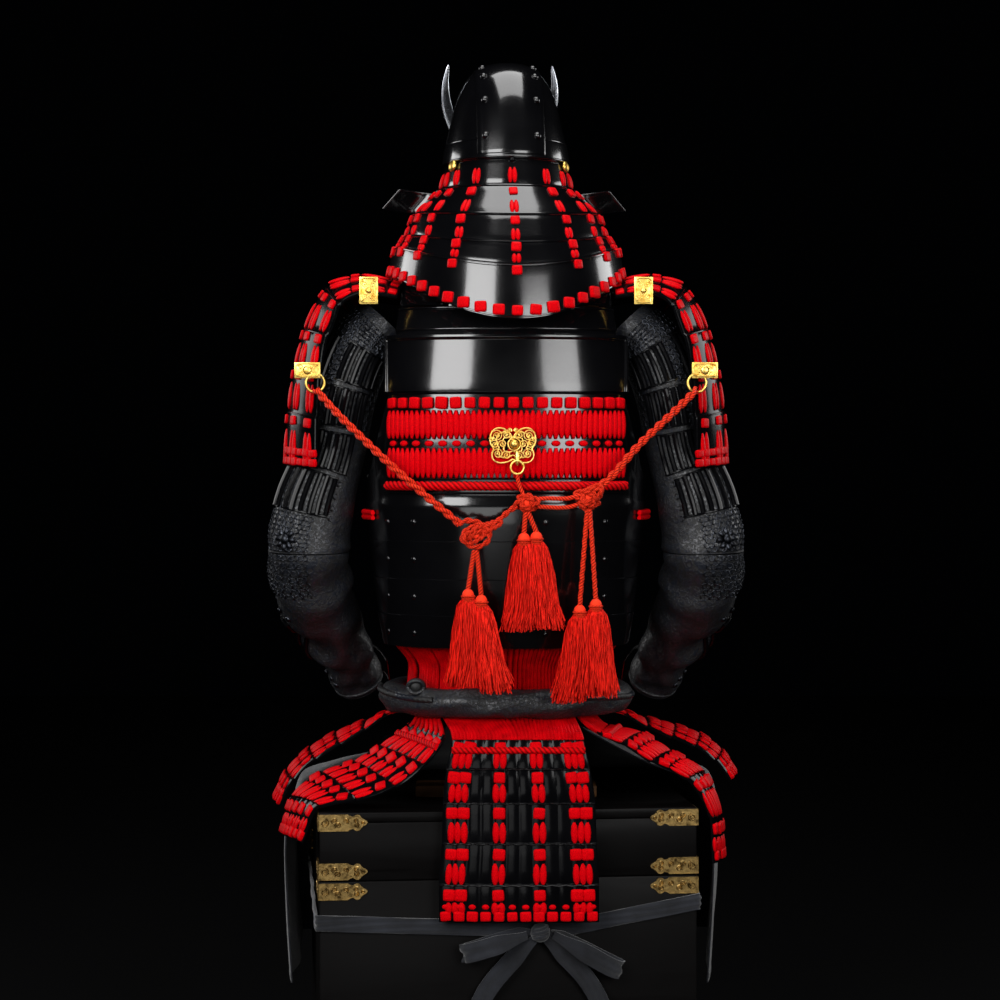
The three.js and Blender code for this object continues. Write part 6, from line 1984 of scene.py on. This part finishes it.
def add_stand():
    """Wooden stand inside the armour: foot, post, rounded rod and a smooth head block."""
    form = Form()
    foot = CHEST["height"] + 0.4
    block(form, (260, 60, 16), (0, 15, foot + 8))
    block(form, (60, 150, 15.6), (0, 15, foot + 7.8))
    head_middle = HELMET["base"] + BOWL["height"][-1] - 95.4
    block(form, (44, 44, head_middle - foot - 2), (0, 15, (head_middle + foot + 2) / 2))
    rod_z = float(column(STRAP["z"], np.array(1 / 3))) - 22.7
    tube(form, np.linspace((-132, 0, rod_z), (132, 0, rod_z), 30), round_section(14, 24))
    piece("stand_frame", form, "stand_wood", ("armour_stand",), bevel=1.5)
    form = ball(Form(), (69, 83, 91), (0, HELMET["y"], head_middle), 32, 20)
    piece("stand_head", form, "stand_wood", crease=60)


def apron_surface(forward, drop):
    """Skirt-like cloth over the chest's front corner: from the rear edge, round the corner, to the middle."""

    def surface(u, v):
        at = {key: column(values, v) for key, values in APRON.items()}
        ahead = forward * smooth((v - 0.15) / 0.2)
        side = stack(at["side_x"], at["side_y"], at["side_z"] - drop)
        corner = stack(at["corner_x"], at["corner_y"] + ahead, at["z"] - drop)
        inner = stack(at["inner_x"], at["inner_y"] + ahead, at["z"] - drop)
        bend = 0.46
        first = side + (corner - side) * np.clip(u / bend, 0, 1)[..., None]
        second = corner + (inner - corner) * np.clip((u - bend) / (1 - bend), 0, 1)[..., None]
        blend = smooth((u - bend + 0.035) / 0.07)[..., None]
        return first * (1 - blend) + second * blend

    return surface


def add_aprons():
    """The two aprons. The left one's rear edge swings out, and the right one reaches further forward."""

    def fold(u, v):
        deep = smooth((v - 0.45) / 0.4)
        main = 3 * np.sin(8 * math.pi * u) * deep
        small = 1.1 * np.sin(37 * u - 8 * v + 1) * smooth((v - 0.6) / 0.3)
        uneven = 1.6 * np.sin(21 * u + 3 * v) * deep + small
        sag = 1.4 * np.sin(9 * v + 5 * u) * smooth(v / 0.2)
        return 2.4 + main + 0.6 * (uneven + sag)

    for side, name, forward, drop, flare in ((1, "left", 4, 4, 18), (-1, "right", 17, 3.6, 0)):
        def surface(u, v, hang=apron_surface(forward, drop), flare=flare):
            swing = flare * smooth(1 - u / 0.3) * smooth((v - 0.1) / 0.4)
            return hang(u, v) - stack(swing, 0 * swing, 0 * swing)

        form = shell(Form(), surface, np.linspace(0, 1, 85), np.linspace(0, 1, 61), 2, fold)
        u = np.linspace(0.004, 0.996, 80)
        line, out, _, _ = skin(surface, fold)(u, 0.985 + 0 * u)
        tube(form, line - out * 0.6, flat_section(9, 1.2), up=out)
        form = form if side > 0 else form.mirrored()
        made = piece("apron_cloth_" + name, form, "cotton", ("thigh_apron_" + name,), crease=70)


def sash_path():
    """Running lengths and points round the chest, clear of its brass; the bow pulls the back down."""
    half = np.array([CHEST["width"], CHEST["depth"]]) / 2 + SASH["gap"]
    marks = []
    corners = [(-1, -1, SASH["left"]), (1, -1, SASH["right"]), (1, 1, SASH["front"]), (-1, 1, SASH["front"])]
    for k, (cx, cy, z) in enumerate(corners):
        for turn in np.radians(np.linspace(-180, -90, 7) + 90 * k):
            marks.append((
                cx * (half[0] - SASH["round"]) + SASH["round"] * math.cos(turn),
                cy * (half[1] - SASH["round"]) + SASH["round"] * math.sin(turn), z))
        if k == 0:
            marks.append((BOW["x"] - CHEST["x"], -half[1], SASH["knot"]))
    marks = np.array(marks + marks[:1])
    run = np.concatenate([[0], np.cumsum(np.linalg.norm(np.diff(marks, axis=0), axis=1))])
    return run, marks


def bow_crease(u, v):
    """Soft folds along a ribbon of the bow."""
    return 0.9 + 1.5 * np.sin(2 * math.pi * (1.6 * u + 0.3 * np.sin(4 * v))) * smooth(0.3 + v)


def add_sash():
    run, marks = sash_path()
    us = np.unique(np.concatenate([run / run[-1], np.linspace(0, 1, 150)]))

    def surface(u, v):
        s = (u % 1) * run[-1]
        x, y, z = (np.interp(s, run, marks[:, k]) for k in range(3))
        return on_chest(stack(x, y, z + SASH["tall"] * (0.5 - v)))

    def ripple(u, v):
        return 3.4 + 0.9 * np.sin(5 * math.pi * v + 9 * np.sin(17 * u)) + 0.5 * np.sin(130 * u + 6 * v)

    form = shell(Form(), surface, us, np.linspace(0, 1, 15), 2.2, ripple, side=-1, ring=True)
    made = piece("sash_band", form, "cotton", ("sash",), crease=75)
    bow = Form()
    slant = math.tan(math.radians(CHEST["yaw"]))
    knot = np.array([BOW["x"], BOW["y"], BOW["z"]], float)
    for points in BOW_LOOPS + BOW_TAILS:
        path = along_curve([knot + (x, y + slant * x, z) for x, y, z in points], 60)
        ahead = unit(np.gradient(path, axis=0))
        across = unit(stack(-ahead[:, 2], 0, ahead[:, 0]))
        across = across * np.where(across[:, 2:] < 0, -1, 1)
        share = np.linspace(0, 1, 60)
        half = BOW["width"] / 2 * (0.45 + 0.55 * smooth(share * 4) * smooth((1 - share) * 8 + 0.3))

        def ribbon(u, v, columns=(*path.T, *across.T, half)):
            k = np.clip(v, 0, 1) * 59
            x, y, z, dx, dy, dz, wide = (np.interp(k, np.arange(60), values) for values in columns)
            return stack(x, y, z) + stack(dx, dy, dz) * ((0.5 - u) * 2 * wide)[..., None]

        shell(bow, ribbon, np.linspace(0, 1, 15), np.linspace(0, 1, 60), 1.8, bow_crease)
    tied = ball(Form(), (13.4, 11.4, 13.4), knot, 28, 18)
    for drop in (-5, 1, 6):
        t = turns(40)
        wrap = knot + stack((11.8 - abs(drop) * 0.5) * np.cos(t), 10.6 * np.sin(t), drop + 2.5 * np.cos(t))
        tube(tied, wrap, round_section(2.6, 8), ring=True)
    tied = piece("sash_bow_knot", tied, "cotton", crease=70)
    made = piece("sash_bow_cloth", bow, "cotton", ("sash_bow",), crease=70)


# Gilt butterfly


class FittingSizes(bpy.types.PropertyGroup):
    wire: bpy.props.FloatProperty(
        name="Filigree wire", description="Width of the gilt wire on the butterfly",
        default=0.0022, unit="LENGTH")


class ARMOUR_OT_butterfly(bpy.types.Operator):
    """Makes the filigree butterfly on the back, with its knob and ring"""

    bl_idname = "armour.butterfly"
    bl_label = "Butterfly fitting"

    def execute(self, context):
        add_butterfly(context.scene.armour_fitting.wire * 500)
        return {"FINISHED"}


def wing_outline():
    """Right half of the butterfly, as shares of its half width and half height."""

    def curve(*corners):
        a, b, c, d = np.array(corners, float)
        t = np.linspace(0, 1, 14)[:, None]
        return (1 - t) ** 3 * a + 3 * t * (1 - t) ** 2 * b + 3 * t * t * (1 - t) * c + t**3 * d

    upper = curve((0, 0.45), (0.3, 1.3), (1, 1.2), (1, 0.45))
    side = curve((1, 0.45), (1.05, 0.1), (0.9, -0.05), (0.84, -0.2))
    lower = curve((0.84, -0.2), (1.15, -0.95), (0.55, -1.3), (0, -0.82))
    return np.vstack([upper, side[1:], lower[1:]])


def add_butterfly(radius):
    x, z, y = BUTTERFLY["x"], BUTTERFLY["z"], BUTTERFLY["y"]
    size = np.array([BUTTERFLY["half_width"], BUTTERFLY["half_tall"]])
    form = Form()
    half = wing_outline() * [1, 1.04]
    whole = np.vstack([half, (half * [-1, 1])[::-1][1:-1]])
    middle = np.array([0, 0.1])
    for share, thick in ((1, radius * 1.2), (0.72, radius), (0.44, radius)):
        edge = (middle + (whole - middle) * share) * size
        line = stack(x + edge[:, 0], y - 1.0 - 0.5 * share, z + edge[:, 1])
        tube(form, line, round_section(thick, 8), ring=True, up=ALONG_Y)
    scrolls = (
        (0.7, 0.62, 8.2, 2.0), (0.3, 0.66, 6.4, 1.7), (0.8, 0.08, 6.2, 1.7), (0.46, 0.1, 5.6, 1.6),
        (0.66, -0.5, 7.4, 1.9), (0.28, -0.6, 6.2, 1.7), (0.94, 0.42, 3.2, 1.2), (0.12, 0.95, 3.2, 1.2),
    )
    for s in (-1, 1):
        for cx, cz, r, rounds in scrolls:
            t = np.linspace(0, 1, 40)
            turn = s * 2 * math.pi * rounds * t + (0 if s > 0 else math.pi)
            spiral = r * (1 - 0.85 * t)
            along, upward = x + s * cx * size[0], z + cz * size[1]
            line = stack(along + spiral * np.cos(turn), y - 1.2 - 1.4 * t, upward + spiral * np.sin(turn))
            tube(form, line, round_section(radius * 0.95, 6), up=ALONG_Y)
            ball(form, (radius * 1.7,) * 3, line[-1], 8, 6)
        feeler = [(x + s * 2, y - 2, z + 8), (x + s * 6, y - 3, z + 16), (x + s * 12, y - 2, z + 20)]
        tube(form, along_curve(feeler, 16), round_section(radius * 0.7, 6))
    ball(form, (6.6, 6, 6.6), (x + 2, y - 0.6, z + 2), 24, 16)
    hoop(form, (x + 2, y - 2.4, z + 2), 8.6, 1.1, 8, 40)
    ball(form, (3.6, 3, 11), (x + 6, y - 2, z - 17), 16, 12)
    hoop(form, (x + 6, y - 3.6, BUTTERFLY["ring_z"]), 9, 1.8, 10, 40)
    piece("butterfly_filigree", form, "gilt", ("butterfly_fitting",), crease=60)


# Panel, registration and the build itself


SETTINGS = {
    "armour_stage": StageSizes, "armour_cords": CordSizes, "armour_helmet": HelmetSizes,
    "armour_cuirass": CuirassSizes, "armour_guards": GuardSizes, "armour_sleeves": SleeveSizes,
    "armour_skirt": SkirtSizes, "armour_chest": ChestSizes, "armour_fitting": FittingSizes,
}
STEPS = [
    ARMOUR_OT_stage, ARMOUR_OT_cords, ARMOUR_OT_helmet, ARMOUR_OT_cuirass, ARMOUR_OT_guards,
    ARMOUR_OT_sleeves, ARMOUR_OT_skirt, ARMOUR_OT_chest, ARMOUR_OT_butterfly,
]


class ARMOUR_PT_panel(bpy.types.Panel):
    """Lists the steps and their sizes"""

    bl_idname = "ARMOUR_PT_panel"
    bl_label = "Seated armour"
    bl_space_type = "VIEW_3D"
    bl_region_type = "UI"
    bl_category = "Armour"

    def draw(self, context):
        for name, sizes in SETTINGS.items():
            box = self.layout.box()
            for field in sizes.bl_rna.properties:
                if not field.is_readonly and field.identifier != "name":
                    box.prop(getattr(context.scene, name), field.identifier)
        for step in STEPS:
            self.layout.operator(step.bl_idname)


def register():
    for made in (*SETTINGS.values(), *STEPS, ARMOUR_PT_panel):
        bpy.utils.register_class(made)
    for name, sizes in SETTINGS.items():
        setattr(bpy.types.Scene, name, bpy.props.PointerProperty(type=sizes))


def unregister():
    for name in SETTINGS:
        delattr(bpy.types.Scene, name)
    for made in (ARMOUR_PT_panel, *reversed(STEPS), *SETTINGS.values()):
        bpy.utils.unregister_class(made)


def main():
    register()
    bpy.ops.armour.stage()
    bpy.ops.armour.cords()
    bpy.ops.armour.helmet()
    bpy.ops.armour.cuirass()
    bpy.ops.armour.guards()
    bpy.ops.armour.sleeves()
    bpy.ops.armour.skirt()
    bpy.ops.armour.chest()
    bpy.ops.armour.butterfly()
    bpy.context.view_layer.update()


if __name__ == "__main__":
    main()
